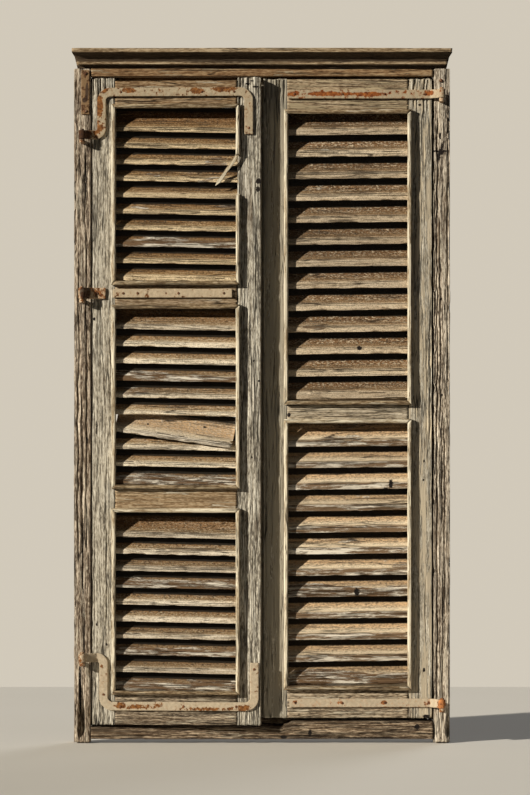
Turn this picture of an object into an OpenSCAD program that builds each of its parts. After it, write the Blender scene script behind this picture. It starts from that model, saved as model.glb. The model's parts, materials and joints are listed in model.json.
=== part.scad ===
// A pair of weathered louvred shutters on forged strap hinges, in their own wooden frame.
// X runs along the wall, Y into the wall and Z up. The origin is on the wall plane, behind the
// middle of the sill rail. The left leaf is drawn shut and then swung out on its hinge line.

/* [Frame] */
// Width over both jambs
frame_w = 980; // [860:5:1200]
// Height from the jambs' feet to the underside of the cornice
frame_h = 1754; // [1500:5:2100]
// Depth of the jambs from the wall to their face
jamb_d = 54; // [50:1:70]
// Width of a jamb's face
jamb_w = 45; // [40:1:60]
// Height of the head rail's face
head_h = 21; // [16:1:40]
// Height of the sill rail
sill_h = 48; // [40:1:54]
// Height of the sill rail's underside over the jambs' feet
sill_lift = 9; // [0:1:12]
// How far the worn stretch of the sill rail is cut down
sill_wear = 16; // [4:1:20]
// Reach of the stop lip past a jamb's inner face
stop_w = 12; // [8:1:18]
// Length of the tenons that join the frame
frame_tenon_l = 22; // [14:1:28]

/* [Cornice] */
// Height of the cornice
cornice_h = 50; // [42:1:70]
// Reach of the cornice from the wall
cornice_d = 95; // [90:1:120]
// Overhang of the cornice past each jamb
cornice_over = 3; // [1:1:12]
// Height of the cornice's top fillet
top_fillet_h = 12; // [8:1:16]
// Height of the cornice's lower fillet
low_fillet_h = 9; // [6:1:12]
// Height of the drip cut under the lower fillet
drip_h = 9; // [5:1:12]
// Depth of the cove between the two fillets
cove_d = 26; // [16:1:30]
// How far each return steps in under the top fillet
return_in = 13; // [6:1:20]

/* [Leaves] */
// Thickness of both leaves
leaf_t = 40; // [34:1:44]
// Clearance between each leaf and its jamb
jamb_gap = 2.5; // [2:0.5:5]
// Gap between the two leaves
meeting_gap = 7; // [6.5:0.5:12]
// Clearance under the head rail
head_gap = 4; // [2:0.5:8]
// Depth to which the rails' tenons enter the stiles
tenon_l = 36; // [20:1:44]
// Thickness of the rails' tenons
tenon_t = 12; // [8:1:14]
// Play around a tenon or a slat in its seat
seat_fit = 0.3; // [0.2:0.05:0.5]
// Depth of the slats' housings in the stiles
housing_d = 8; // [5:1:12]
// Width of the planted beads
bead_w = 12; // [8:0.5:14]
// How far the beads stand out from the face
bead_out = 16; // [10:0.5:18]
// How far the beads lap over the slats' ends
bead_lap = 3; // [1:0.5:5]

/* [Left leaf] */
// Angle at which the left leaf stands ajar
ajar = 3; // [0:0.5:10]
// How far the left leaf's face stands in front of the jambs when shut
left_proud = 10; // [4:1:14]
// Clearance between the left leaf and the worn sill rail
left_foot_gap = 7; // [4:1:20]
// Width of the left leaf's hinge stile
left_hinge_stile_w = 60; // [56:1:80]
// Width of the left leaf's meeting stile
left_meeting_stile_w = 62; // [56:1:80]
// Height of the left leaf's bottom rail
left_bottom_rail_h = 88; // [70:1:120]
// Height of the left leaf's lower middle rail
left_lower_rail_h = 67; // [50:1:90]
// Height of the left leaf's upper middle rail
left_upper_rail_h = 68; // [54:1:90]
// Height of the left leaf's top rail
left_top_rail_h = 70; // [60:1:110]
// Length of the stiles' horns above the left top rail
left_horn = 8; // [2:1:20]

/* [Right leaf] */
// Clearance between the right leaf and the sill rail
right_foot_gap = 7; // [4:1:20]
// Width of the right leaf's meeting stile
right_meeting_stile_w = 62; // [56:1:80]
// Width of the right leaf's hinge stile
right_hinge_stile_w = 62; // [56:1:80]
// Height of the right leaf's bottom rail
right_bottom_rail_h = 83; // [70:1:120]
// Height of the right leaf's middle rail
right_middle_rail_h = 54; // [44:1:90]
// Height of the right leaf's top rail
right_top_rail_h = 89; // [70:1:120]
// Length of the stiles' horns above the right top rail
right_horn = 2; // [1:1:20]

/* [Slats] */
// Thickness of the left leaf's slats
left_slat_t = 8; // [7:0.5:13]
// Tilt of the left leaf's slats from the level
left_tilt = 46; // [38:1:48]
// Spacing of the slats in the left leaf's bottom panel
left_bottom_pitch = 43.8; // [40:0.1:60]
// Spacing of the slats in the left leaf's middle panel
left_middle_pitch = 44.5; // [40:0.1:60]
// Spacing of the slats in the left leaf's top panel
left_top_pitch = 42.7; // [40:0.1:60]
// Height of the lowest slats' noses over the rails of the left leaf
left_slat_foot = 5.5; // [2:0.5:20]
// Angle to which the left leaf's slats have sagged towards the meeting stile
left_rack = 1.1; // [0:0.1:1.6]
// Thickness of the right leaf's slats
right_slat_t = 11; // [8:0.5:13]
// Tilt of the right leaf's slats from the level
right_tilt = 48; // [42:1:50]
// Spacing of the slats in the right leaf's bottom panel
right_bottom_pitch = 55.9; // [50:0.1:70]
// Spacing of the slats in the right leaf's top panel
right_top_pitch = 57; // [50:0.5:70]
// Height of the lowest slats' noses over the rails of the right leaf
right_slat_foot = 6.5; // [2:0.5:20]
// Angle to which the right leaf's slats rise towards the hinge stile
right_rack = 0.6; // [0:0.1:1.2]
// Width of the worn arris on a slat's nose
nose_wear = 2; // [0.5:0.5:4]
// Extra angle to which the slipped slat hangs
slip_drop = 8.2; // [7.8:0.1:9]
// Angle to which the slipped slat leans out of its panel
slip_lean = 2.4; // [2.3:0.1:3.4]

/* [Hinges] */
// Distance from a jamb's inner face out to the hinge line
hinge_out = 21; // [18:1:26]
// Distance from the jambs' face forward to the hinge line
hinge_forward = 34; // [28:1:40]
// Width of the strap hinges
strap_w = 23; // [18:1:28]
// Thickness of the strap hinges
strap_t = 6; // [3:0.5:7]
// Radius of the rolled eyes
eye_r = 9.5; // [8.5:0.5:12]
// Radius of the hinge pins
pin_r = 5; // [4:0.5:6]
// Running clearance between a pin and its eye
pin_fit = 0.1; // [0.05:0.01:0.1]
// Thickness of the square pintle shanks
shank_t = 10; // [8:1:12]
// Depth to which the shanks are driven into the jambs
shank_l = 38; // [20:1:46]
// Height of the free pin tip above an eye
pin_tip = 4; // [2:1:8]
// Radius of the bends of the bent straps, at mid width
bend_r = 23; // [18:1:30]
// Radius of the bends towards the pintles, at mid width
turn_r = 17; // [15:1:22]
// Radius of the nail heads
nail_head_r = 4; // [3:0.5:5]
// Radius of the nail shanks
nail_r = 1.6; // [1:0.1:2]
// Length of the nail shanks
nail_l = 24; // [16:1:30]

/* [Hidden] */
$fn = 40;

// One overrun for every cut
over = 1;

// Set-out of the frame
foot_z = -(sill_lift + sill_h / 2);
top_z = foot_z + frame_h;
jamb_x = frame_w / 2 - jamb_w;
face_y = -jamb_d;
head_z = top_z - head_h;
sill_z = foot_z + sill_lift;
stop_play = 1;
stop_d = jamb_d - leaf_t - stop_play;
frame_tenon_t = jamb_d / 3;

// The worn stretch of the sill rail ends in a splintered step right of the meeting stiles
wear_end_share = 0.05;
wear_run_share = 0.03;
splinter_share = 0.45;

// Cracks and rot in the jambs, as shares of the jamb's height and face width
split_top_share = 0.095;
split_foot_share = 0.006;
split_mid_share = 0.55;
split_left_share = 0.24;
split_right_share = 0.62;
split_depth_share = 0.4;
rot_top_share = 0.052;
rot_w_share = 0.24;
rot_d_share = 0.35;

// The iron plate and the screws on the jambs
plate_w = 22;
plate_h = 116;
plate_t = 3;
plate_in = 3;
plate_drop = 4;
plate_screw_in = 9;
screw_head_r = 5;
screw_head_t = 2.5;
screw_r = 2.4;
screw_l = 26;
lone_screw_drop = 32;
lone_screw_in_share = 0.45;

// Set-out of the leaves. Each list runs from the bottom up
leaf_top_z = head_z - head_gap;
left_x0 = -jamb_x + jamb_gap;
left_x1 = -meeting_gap / 2;
left_z0 = sill_z + sill_h - sill_wear + left_foot_gap;
left_h = leaf_top_z - left_z0;
left_y = face_y - left_proud;
left_open_x = left_x0 + left_hinge_stile_w;
left_open_w = left_x1 - left_meeting_stile_w - left_open_x;
left_rails = [left_bottom_rail_h, left_lower_rail_h, left_upper_rail_h, left_top_rail_h];
left_free_h = left_h - left_horn - sum_to(left_rails, len(left_rails));
left_panel_shares = [0.338, 0.334, 0.328];
left_opens = [for (share = left_panel_shares) left_free_h * share];

right_x0 = meeting_gap / 2;
right_x1 = jamb_x - jamb_gap;
right_z0 = sill_z + sill_h + right_foot_gap;
right_h = leaf_top_z - right_z0;
right_y = face_y;
right_open_x = right_x0 + right_meeting_stile_w;
right_open_w = right_x1 - right_hinge_stile_w - right_open_x;
right_rails = [right_bottom_rail_h, right_middle_rail_h, right_top_rail_h];
right_free_h = right_h - right_horn - sum_to(right_rails, len(right_rails));
right_panel_shares = [0.478, 0.522];
right_opens = [for (share = right_panel_shares) right_free_h * share];

// Tenons stop short of the rails' edges by this share of the rail's height
haunch_share = 0.18;
// Slats are set out until less than this share of one would fit under the rail above
slat_fit_share = 0.75;
bead_chamfer = bead_w / 4;

// The slipped slat is the fourth from the bottom of the left leaf's middle panel
slipped_row = 3;
slip_hold = 3.2;
slip_short = bead_lap + slat_h(left_slat_t, left_tilt) * sin(slip_drop);
slip_seat_shift = 0.6;

// The meeting bead of the left top panel has lost a stretch, and a splinter hangs from its stub
break_high_share = 0.73;
break_low_share = 0.52;
splinter_lean = 35;
splinter_w = bead_w * 0.68;

// Hinge lines, straps and where their bands lie on the rails
hinge_x = jamb_x + hinge_out;
hinge_y = face_y - hinge_forward;
top_leg_in_share = 0.427;
low_leg_in_share = 0.512;
top_end_in_share = 0.5;
low_end_in_share = 0.27;
top_strap_down_share = 0.434;
mid_strap_up_share = 0.56;
low_strap_up_share = 0.563;
left_top_leg_x = left_x0 + left_hinge_stile_w * top_leg_in_share;
left_top_end_x = left_x1 - left_meeting_stile_w * top_end_in_share;
left_low_leg_x = left_x0 + left_hinge_stile_w * low_leg_in_share;
left_low_end_x = left_x1 - left_meeting_stile_w * low_end_in_share;
left_top_strap_z = left_z0 + left_h - left_horn - left_top_rail_h * top_strap_down_share;
left_low_strap_z = left_z0 + left_bottom_rail_h * low_strap_up_share;
left_mid_strap_z = rail_z(left_z0, left_rails, left_opens, 2)
    + left_upper_rail_h * mid_strap_up_share;
left_top_leg_l = 111;
left_low_leg_l = 126;
left_top_end_l = 111;
left_low_end_l = 114;
left_mid_strap_l = left_open_w - strap_t;
hinge_plate_l = 36;
hinge_plate_w = 29;
right_top_down_share = 0.452;
right_low_up_share = 0.488;
right_top_strap_z = right_z0 + right_h - right_horn - right_top_rail_h * right_top_down_share;
right_low_strap_z = right_z0 + right_bottom_rail_h * right_low_up_share;
right_top_strap_l = right_x1 - right_open_x;
right_low_strap_l = right_top_strap_l - strap_t;

// Nails along the straps, as shares of each band's length from its hinge end
left_top_nail_shares = [0.13, 0.68, 0.9];
left_low_nail_shares = [0.11, 0.53, 0.88];
left_mid_nail_shares = [0.09, 0.21, 0.55, 0.93];
right_top_nail_shares = [0.05, 0.33, 0.62, 0.95];
right_low_nail_shares = [0.03, 0.33, 0.63, 0.96];
leg_end_nail_share = 0.85;
left_low_leg_nail_share = 0.24;
nail_head_t = 1.6;
collar_r = (eye_r + pin_r) / 2;
nail_fit = 0.1;

// Old nail hole, knot hole and the worn corner of the leaves
empty_hole_r = 3.5;
empty_hole_d = 14;
knot_r = 6;
knot_d = 9;
knot_in_share = 0.22;
knot_up_share = 0.85;
worn_r = 8;
worn_d = 12;

function sum_to(list, n) = n <= 0 ? 0 : list[n - 1] + sum_to(list, n - 1);
function rail_z(z0, rails, opens, i) = z0 + sum_to(rails, i) + sum_to(opens, i);
function open_z(z0, rails, opens, i) = z0 + sum_to(rails, i + 1) + sum_to(opens, i);
function slat_h(t, tilt) = t / cos(tilt) + leaf_t * tan(tilt);
function slat_count(open_h, foot, pitch, t, tilt) =
    floor((open_h - foot - slat_fit_share * slat_h(t, tilt)) / pitch) + 1;

// Turns the left leaf out on its hinge line
module left_ajar() {
    translate([-hinge_x, hinge_y, 0]) rotate([0, 0, -ajar]) translate([hinge_x, -hinge_y, 0])
        children();
}

// Wood joints shared by the frame and the leaves

// A tenon along X, centred on the thickness of its rail
module tenon(x0, x1, y, depth, thick, z, h, play) {
    translate([x0, y + (depth - thick) / 2 - play, z + h * haunch_share - play])
        cube([x1 - x0, thick + 2 * play, h * (1 - 2 * haunch_share) + 2 * play]);
}

// A leaf's rail between two stiles, with a tenon at each end
module leaf_rail(x, w, y, z, h) {
    translate([x, y, z]) cube([w, leaf_t, h]);
    tenon(x - tenon_l, x + w + tenon_l, y, leaf_t, tenon_t, z, h, 0);
}

// The mortises for every rail of a leaf
module mortises(x, w, y, z0, rails, opens) {
    reach = tenon_l + seat_fit;
    for (i = [0 : len(rails) - 1])
        tenon(x - reach, x + w + reach, y, leaf_t, tenon_t,
              rail_z(z0, rails, opens, i), rails[i], seat_fit);
}

// Slats

// Section of a slat with its front and back cut upright, and a worn arris on the nose
module slat_section(t, tilt) {
    rise = leaf_t * tan(tilt);
    v = t / cos(tilt);
    polygon([[0, 0], [leaf_t, rise], [leaf_t, rise + v],
             [nose_wear, v + nose_wear * tan(tilt)], [0, v - nose_wear]]);
}

// Section of the housing that takes a slat, open at the leaf's face and back
module housing_section(t, tilt) {
    v = t / cos(tilt) + seat_fit;
    front = -over * tan(tilt);
    back = (leaf_t + over) * tan(tilt);
    polygon([[-over, front - seat_fit], [leaf_t + over, back - seat_fit],
             [leaf_t + over, back + v], [-over, front + v]]);
}

module slat(l, t, tilt) {
    rotate([90, 0, 90]) linear_extrude(l) slat_section(t, tilt);
}

module housing(l, t, tilt) {
    rotate([90, 0, 90]) linear_extrude(l) housing_section(t, tilt);
}

// The rows of one panel, each racked about the panel's left side and trimmed to the opening
module slat_rows(x, w, y, z, h, foot, pitch, t, tilt, rack, left_out) {
    count = slat_count(h, foot, pitch, t, tilt);
    l = w + 2 * (housing_d - seat_fit);
    for (row = [0 : count - 1]) if (row != left_out)
        intersection() {
            translate([x, y, z + foot + row * pitch]) rotate([0, rack, 0])
                translate([seat_fit - housing_d, 0, 0]) slat(l, t, tilt);
            translate([x - tenon_l, y - over, z + seat_fit])
                cube([w + 2 * tenon_l, leaf_t + 2 * over, h - 2 * seat_fit]);
        }
}

// The housings of the same rows, trimmed to the opening's height
module housing_rows(x, w, y, z, h, foot, pitch, t, tilt, rack) {
    count = slat_count(h, foot, pitch, t, tilt);
    intersection() {
        for (row = [0 : count - 1])
            translate([x, y, z + foot + row * pitch]) rotate([0, rack, 0])
                translate([-housing_d, 0, 0]) housing(w + 2 * housing_d, t, tilt);
        translate([x - tenon_l, y - 2 * over, z]) cube([w + 2 * tenon_l, leaf_t + 4 * over, h]);
    }
}

// Planted beads

// A bead of the frame around an opening, along X from the origin, with mitred ends
module bead(l) {
    intersection() {
        rotate([90, 0, 90]) linear_extrude(l)
            polygon([[0, 0], [-bead_out + bead_chamfer, 0], [-bead_out, bead_chamfer],
                     [-bead_out, bead_w - bead_chamfer], [-bead_out + bead_chamfer, bead_w],
                     [0, bead_w]]);
        rotate([90, 0, 0]) linear_extrude(bead_out + over)
            polygon([[0, 0], [l, 0], [l - bead_w, bead_w], [bead_w, bead_w]]);
    }
}

// side 0 is the sill, 1 the hinge or right side, 2 the head and 3 the left side
module panel_bead(side, x, w, y, z, h) {
    grow = bead_w - bead_lap;
    across = w + 2 * grow;
    up = h + 2 * grow;
    translate([x + w / 2, y, z + h / 2]) {
        if (side == 0) translate([-across / 2, 0, -up / 2]) bead(across);
        if (side == 1) translate([across / 2, 0, -up / 2]) rotate([0, -90, 0]) bead(up);
        if (side == 2) translate([across / 2, 0, up / 2]) rotate([0, 180, 0]) bead(across);
        if (side == 3) translate([-across / 2, 0, up / 2]) rotate([0, 90, 0]) bead(up);
    }
}

// Straps, pintles and nails

// A level band of a strap on a face at y
module band_x(x0, x1, y, z) {
    translate([x0, y - strap_t, z - strap_w / 2]) cube([x1 - x0, strap_t, strap_w]);
}

// An upright band of a strap
module band_z(x, y, z0, z1) {
    translate([x - strap_w / 2, y - strap_t, z0]) cube([strap_w, strap_t, z1 - z0]);
}

// A quarter bend of radius r at mid width, about x and z, in the quadrant given by two signs
module bend(x, y, z, r, side, up) {
    outer = r + strap_w / 2;
    intersection() {
        translate([x, y, z]) rotate([90, 0, 0]) difference() {
            cylinder(h = strap_t, r = outer);
            translate([0, 0, -over]) cylinder(h = strap_t + 2 * over, r = r - strap_w / 2);
        }
        translate([x + (side < 0 ? -outer : 0), y - strap_t, z + (up < 0 ? -outer : 0)])
            cube([outer, strap_t, outer]);
    }
}

// A strap's straight run from far_x to x with its arm to the rolled eye, w high and centred on z
module eye_arm(far_x, x, y, z, side, w) {
    turn = atan2(hinge_y - (y - strap_t / 2), side * hinge_x - x);
    half = [-sin(turn) * strap_t / 2, cos(turn) * strap_t / 2] * side;
    eye = [side * hinge_x, hinge_y];
    difference() {
        union() {
            translate([0, 0, z - w / 2]) linear_extrude(w)
                polygon(concat([eye - half, eye + half, [x, y]],
                               far_x == x ? [] : [[far_x, y], [far_x, y - strap_t]],
                               [[x, y - strap_t]]));
            translate([side * hinge_x, hinge_y, z - w / 2]) cylinder(h = w, r = eye_r);
        }
        translate([side * hinge_x, hinge_y, z - w / 2 - over])
            cylinder(h = w + 2 * over, r = pin_r + pin_fit);
    }
}

module nail_holes(places, y, depth) {
    for (place = places)
        translate([place[0], y - strap_t - over, place[1]]) rotate([-90, 0, 0])
            cylinder(h = depth + strap_t + over, r = nail_r + nail_fit);
}

module nail(x, y, z) {
    translate([x, y, z]) rotate([90, 0, 0]) {
        cylinder(h = nail_head_t, r1 = nail_head_r, r2 = nail_head_r * 0.6);
        translate([0, 0, -nail_l]) cylinder(h = nail_l, r = nail_r);
    }
}

// Nail places, in X and Z
left_top_nails = concat(
    [for (s = left_top_nail_shares)
        [left_top_leg_x + s * (left_top_end_x - left_top_leg_x), left_top_strap_z]],
    [[left_top_end_x, left_top_strap_z - left_top_end_l * leg_end_nail_share]]);
left_low_nails = concat(
    [for (s = left_low_nail_shares)
        [left_low_leg_x + s * (left_low_end_x - left_low_leg_x), left_low_strap_z]],
    [[left_low_leg_x, left_low_strap_z + left_low_leg_l * left_low_leg_nail_share],
     [left_low_end_x, left_low_strap_z + left_low_end_l * leg_end_nail_share]]);
left_mid_x = left_open_x - strap_t;
left_mid_nails = [for (s = left_mid_nail_shares) [left_mid_x + s * left_mid_strap_l, left_mid_strap_z]];
hinge_plate_nail = [left_x0 + hinge_plate_l * 0.4, left_mid_strap_z];
left_face_nails = concat(left_top_nails, left_low_nails, left_mid_nails);
right_top_nails = [for (s = right_top_nail_shares) [right_x1 - s * right_top_strap_l, right_top_strap_z]];
right_low_nails = [for (s = right_low_nail_shares) [right_x1 - s * right_low_strap_l, right_low_strap_z]];
right_face_nails = concat(right_top_nails, right_low_nails);

// The frame's pieces

// A jamb with its stop lip behind the leaf, from lip_z up to the head rail
module jamb_board(lip_z) {
    translate([jamb_x, face_y, foot_z]) cube([jamb_w, jamb_d, frame_h]);
    translate([jamb_x - stop_w, -stop_d, lip_z]) cube([2 * stop_w, stop_d, head_z - lip_z]);
}

// Tenons of the head and sill rails, which enter both jambs
module frame_tenons(z, h, play) {
    tenon(-jamb_x - frame_tenon_l - play, jamb_x + frame_tenon_l + play, face_y, jamb_d,
          frame_tenon_t, z, h, play);
}

// The square hole for a pintle's shank, whose top is just under the eye
module shank_hole(side, eye_z) {
    size = shank_t + 2 * pin_fit;
    translate([side * hinge_x - size / 2, face_y - over, eye_z - seat_fit - shank_t - pin_fit])
        cube([size, shank_l + over + pin_fit, size]);
}

// The foot of each eye, where its pintle carries it
left_top_eye_z = left_top_strap_z - left_top_leg_l - strap_w / 2;
left_mid_eye_z = left_mid_strap_z - hinge_plate_w / 2;
left_low_eye_z = left_low_strap_z + left_low_leg_l - strap_w / 2;
right_top_eye_z = right_top_strap_z - strap_w / 2;
right_low_eye_z = right_low_strap_z - strap_w / 2;

plate_z = top_z - plate_drop - plate_h;
plate_x = -jamb_x - plate_in - plate_w;
plate_screws = [[plate_x + plate_w / 2, plate_z + plate_screw_in],
                [plate_x + plate_w / 2, plate_z + plate_h - plate_screw_in]];
lone_screw = [jamb_x + jamb_w * lone_screw_in_share, top_z - lone_screw_drop];

module screw_hole(place, y) {
    translate([place[0], y - over, place[1]]) rotate([-90, 0, 0])
        cylinder(h = screw_l + over + plate_t, r = screw_r + nail_fit);
}

module screw(place, y) {
    translate([place[0], y, place[1]]) rotate([90, 0, 0]) {
        cylinder(h = screw_head_t, r1 = screw_head_r, r2 = screw_head_r * 0.8);
        translate([0, 0, -screw_l]) cylinder(h = screw_l, r = screw_r);
    }
}

module jamb_left() {
    left = -frame_w / 2;
    color("#8b7d6b") difference() {
        mirror([1, 0, 0]) jamb_board(sill_z + sill_h - sill_wear);
        frame_tenons(head_z, head_h, seat_fit);
        frame_tenons(sill_z, sill_h - sill_wear, seat_fit);
        for (z = [left_top_eye_z, left_mid_eye_z, left_low_eye_z]) shank_hole(-1, z);
        for (place = plate_screws) screw_hole(place, face_y);
        // The open split near the foot narrows upwards
        translate([0, face_y + jamb_d * split_depth_share, 0]) rotate([90, 0, 0])
            linear_extrude(jamb_d)
                polygon([[left + jamb_w * split_left_share, foot_z + frame_h * split_foot_share],
                         [left + jamb_w * split_right_share, foot_z + frame_h * split_foot_share * 2],
                         [left + jamb_w * split_right_share,
                          foot_z + frame_h * split_top_share * split_mid_share],
                         [left + jamb_w * split_mid_share, foot_z + frame_h * split_top_share],
                         [left + jamb_w * split_left_share,
                          foot_z + frame_h * split_top_share * split_mid_share]]);
    }
}

module jamb_right() {
    right = frame_w / 2;
    color("#8d8072") difference() {
        jamb_board(sill_z + sill_h);
        frame_tenons(head_z, head_h, seat_fit);
        frame_tenons(sill_z, sill_h - sill_wear, seat_fit);
        for (z = [right_top_eye_z, right_low_eye_z]) shank_hole(1, z);
        screw_hole(lone_screw, face_y);
        // The outer arris has rotted away near the foot
        translate([0, face_y + jamb_d * rot_d_share, 0]) rotate([90, 0, 0]) linear_extrude(jamb_d)
            polygon([[right - jamb_w * rot_w_share, foot_z + frame_h * rot_top_share / 2],
                     [right + over, foot_z + frame_h * split_foot_share],
                     [right + over, foot_z + frame_h * rot_top_share]]);
    }
}

module frame_head() {
    color("#8a6f50") difference() {
        union() {
            translate([-jamb_x, face_y, head_z]) cube([2 * jamb_x, jamb_d, head_h]);
            translate([stop_w - jamb_x, -stop_d, head_z - stop_w])
                cube([2 * (jamb_x - stop_w), stop_d, stop_w]);
            frame_tenons(head_z, head_h, 0);
        }
        // The jamb plate's upper screw passes through the tenon
        for (place = plate_screws) screw_hole(place, face_y);
    }
}

// The sill rail is worn down under the left leaf and ends that stretch in a splintered step
module sill_rail() {
    high = sill_z + sill_h;
    low = high - sill_wear;
    step = frame_w * wear_end_share;
    run = frame_w * wear_run_share;
    color("#7d6a55") {
        rotate([90, 0, 0]) linear_extrude(jamb_d)
            polygon([[-jamb_x, sill_z], [jamb_x, sill_z], [jamb_x, high], [step + run, high],
                     [step + run / 2, low + sill_wear * splinter_share],
                     [step + run / 3, high - sill_wear * splinter_share / 2],
                     [step, low], [-jamb_x, low]]);
        frame_tenons(sill_z, sill_h - sill_wear, 0);
    }
}

// The cornice: two fillets with a cove between them over a drip, returned at both ends
module cornice() {
    half = frame_w / 2 + cornice_over;
    low_y = -(cornice_d - cove_d);
    drip_y = face_y - over;
    cove_h = cornice_h - top_fillet_h - low_fillet_h - drip_h;
    cove_z = top_z + drip_h + low_fillet_h;
    cove_steps = 8;
    cove = [for (i = [1 : cove_steps - 1])
        [low_y - cove_d * (1 - cos(90 * i / cove_steps)), cove_z + cove_h * sin(90 * i / cove_steps)]];
    color("#b39468") intersection() {
        translate([-half, 0, 0]) rotate([90, 0, 90]) linear_extrude(2 * half)
            polygon(concat(
                [[0, top_z], [drip_y, top_z], [drip_y, top_z + drip_h], [low_y, top_z + drip_h],
                 [low_y, cove_z]],
                cove,
                [[-cornice_d, cove_z + cove_h], [-cornice_d, top_z + cornice_h],
                 [0, top_z + cornice_h]]));
        rotate([90, 0, 0]) linear_extrude(cornice_d + over)
            polygon([[-half + return_in, top_z - over], [half - return_in, top_z - over],
                     [half - return_in, cove_z], [half, cove_z + cove_h],
                     [half, top_z + cornice_h + over], [-half, top_z + cornice_h + over],
                     [-half, cove_z + cove_h], [-half + return_in, cove_z]]);
    }
}

module jamb_plate() {
    color("#9a7f57") difference() {
        translate([plate_x, face_y - plate_t, plate_z]) cube([plate_w, plate_t, plate_h]);
        for (place = plate_screws) screw_hole(place, face_y - plate_t);
    }
}

module jamb_screws() {
    color("#5c4a3c") {
        for (place = plate_screws) screw(place, face_y - plate_t);
        screw(lone_screw, face_y);
    }
}

// A forged pintle: a square shank driven into the jamb, and a round pin that carries an eye
module pintle(side, eye_z, eye_h) {
    top = eye_z - seat_fit;
    color("#7a4a2e") {
        translate([side * hinge_x - shank_t / 2, hinge_y, top - shank_t])
            cube([shank_t, hinge_forward + shank_l, shank_t]);
        translate([side * hinge_x, hinge_y, top - shank_t]) {
            cylinder(h = shank_t, r = collar_r);
            cylinder(h = shank_t + seat_fit + eye_h + pin_tip, r = pin_r);
        }
    }
}

// The left leaf's pieces

module left_stile(x, w) {
    difference() {
        translate([x, left_y, left_z0]) cube([w, leaf_t, left_h]);
        mortises(left_open_x, left_open_w, left_y, left_z0, left_rails, left_opens);
        for (panel = [0 : len(left_opens) - 1]) left_housings(panel);
        nail_holes(left_face_nails, left_y, nail_l);
        nail_holes([hinge_plate_nail], left_y, nail_l);
    }
}

left_pitches = [left_bottom_pitch, left_middle_pitch, left_top_pitch];

module left_housings(panel) {
    housing_rows(left_open_x, left_open_w, left_y, open_z(left_z0, left_rails, left_opens, panel),
                 left_opens[panel], left_slat_foot, left_pitches[panel], left_slat_t, left_tilt,
                 left_rack);
}

module left_slats(panel, left_out) {
    color("#a98c63") left_ajar()
        slat_rows(left_open_x, left_open_w, left_y, open_z(left_z0, left_rails, left_opens, panel),
                  left_opens[panel], left_slat_foot, left_pitches[panel], left_slat_t, left_tilt,
                  left_rack, left_out);
}

// The slipped slat, held by its left end only, rests on the slat below at its right
module slipped_slat_place() {
    z = open_z(left_z0, left_rails, left_opens, 1) + left_slat_foot
        + slipped_row * left_middle_pitch;
    translate([left_open_x, left_y + seat_fit, z + slip_seat_shift]) rotate([0, 0, -slip_lean])
        rotate([0, slip_drop, 0]) children();
}

module left_hinge_stile() {
    color("#9b9186") left_ajar() difference() {
        left_stile(left_x0, left_hinge_stile_w);
        // The slipped slat has worn its housing wide
        slipped_slat_place() translate([-slip_hold - seat_fit, -seat_fit, 0])
            housing(slip_hold + over, left_slat_t, left_tilt);
    }
}

module left_meeting_stile() {
    color("#a39a8d") left_ajar() difference() {
        left_stile(left_x1 - left_meeting_stile_w, left_meeting_stile_w);
        translate([left_x1 - left_meeting_stile_w * knot_in_share, left_y - over,
                   left_z0 + left_h * knot_up_share])
            rotate([-90, 0, 0]) cylinder(h = knot_d + over, r = knot_r);
        translate([left_mid_x + left_mid_strap_l + 3 * empty_hole_r, left_y - over, left_mid_strap_z])
            rotate([-90, 0, 0]) cylinder(h = empty_hole_d + over, r = empty_hole_r);
    }
}

module left_rail(i) {
    color("#9c8464") left_ajar() difference() {
        leaf_rail(left_open_x, left_open_w, left_y, rail_z(left_z0, left_rails, left_opens, i),
                  left_rails[i]);
        nail_holes(left_face_nails, left_y, nail_l);
    }
}

module left_slipped_slat() {
    l = left_open_w + slip_hold - slip_short;
    color("#b3946a") left_ajar() slipped_slat_place()
        translate([-slip_hold, 0, 0]) slat(l, left_slat_t, left_tilt);
}

module left_bead(panel, side) {
    color("#cbb78c") left_ajar()
        panel_bead(side, left_open_x, left_open_w, left_y,
                   open_z(left_z0, left_rails, left_opens, panel), left_opens[panel]);
}

// The snapped bead: its stub with the hanging splinter, and the length below the break
module left_top_bead_broken() {
    z = open_z(left_z0, left_rails, left_opens, 2);
    h = left_opens[2];
    high = z + h * break_high_share;
    low = z + h * break_low_share;
    x0 = left_open_x + left_open_w - bead_lap;
    gap = high - low;
    color("#c9b48a") left_ajar() {
        difference() {
            panel_bead(1, left_open_x, left_open_w, left_y, z, h);
            translate([0, left_y + over, 0]) rotate([90, 0, 0])
                linear_extrude(bead_out + 2 * over)
                    polygon([[x0 - over, low - bead_w], [x0 + bead_w * 0.4, low],
                             [x0 + bead_w + over, low - bead_w / 2], [x0 + bead_w + over, high],
                             [x0 - over, high - bead_w]]);
        }
        translate([x0 + bead_w, left_y - bead_out * 0.4, high]) rotate([90, 0, 0])
            rotate([0, 0, -splinter_lean]) linear_extrude(bead_out * 0.4)
                polygon([[0, bead_w / 2], [-splinter_w * 0.9, bead_w / 4],
                         [-splinter_w, -gap * 0.7], [-splinter_w * 0.7, -gap],
                         [-splinter_w * 0.2, -gap * 0.8], [0, -gap * 0.1]]);
    }
}

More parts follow.
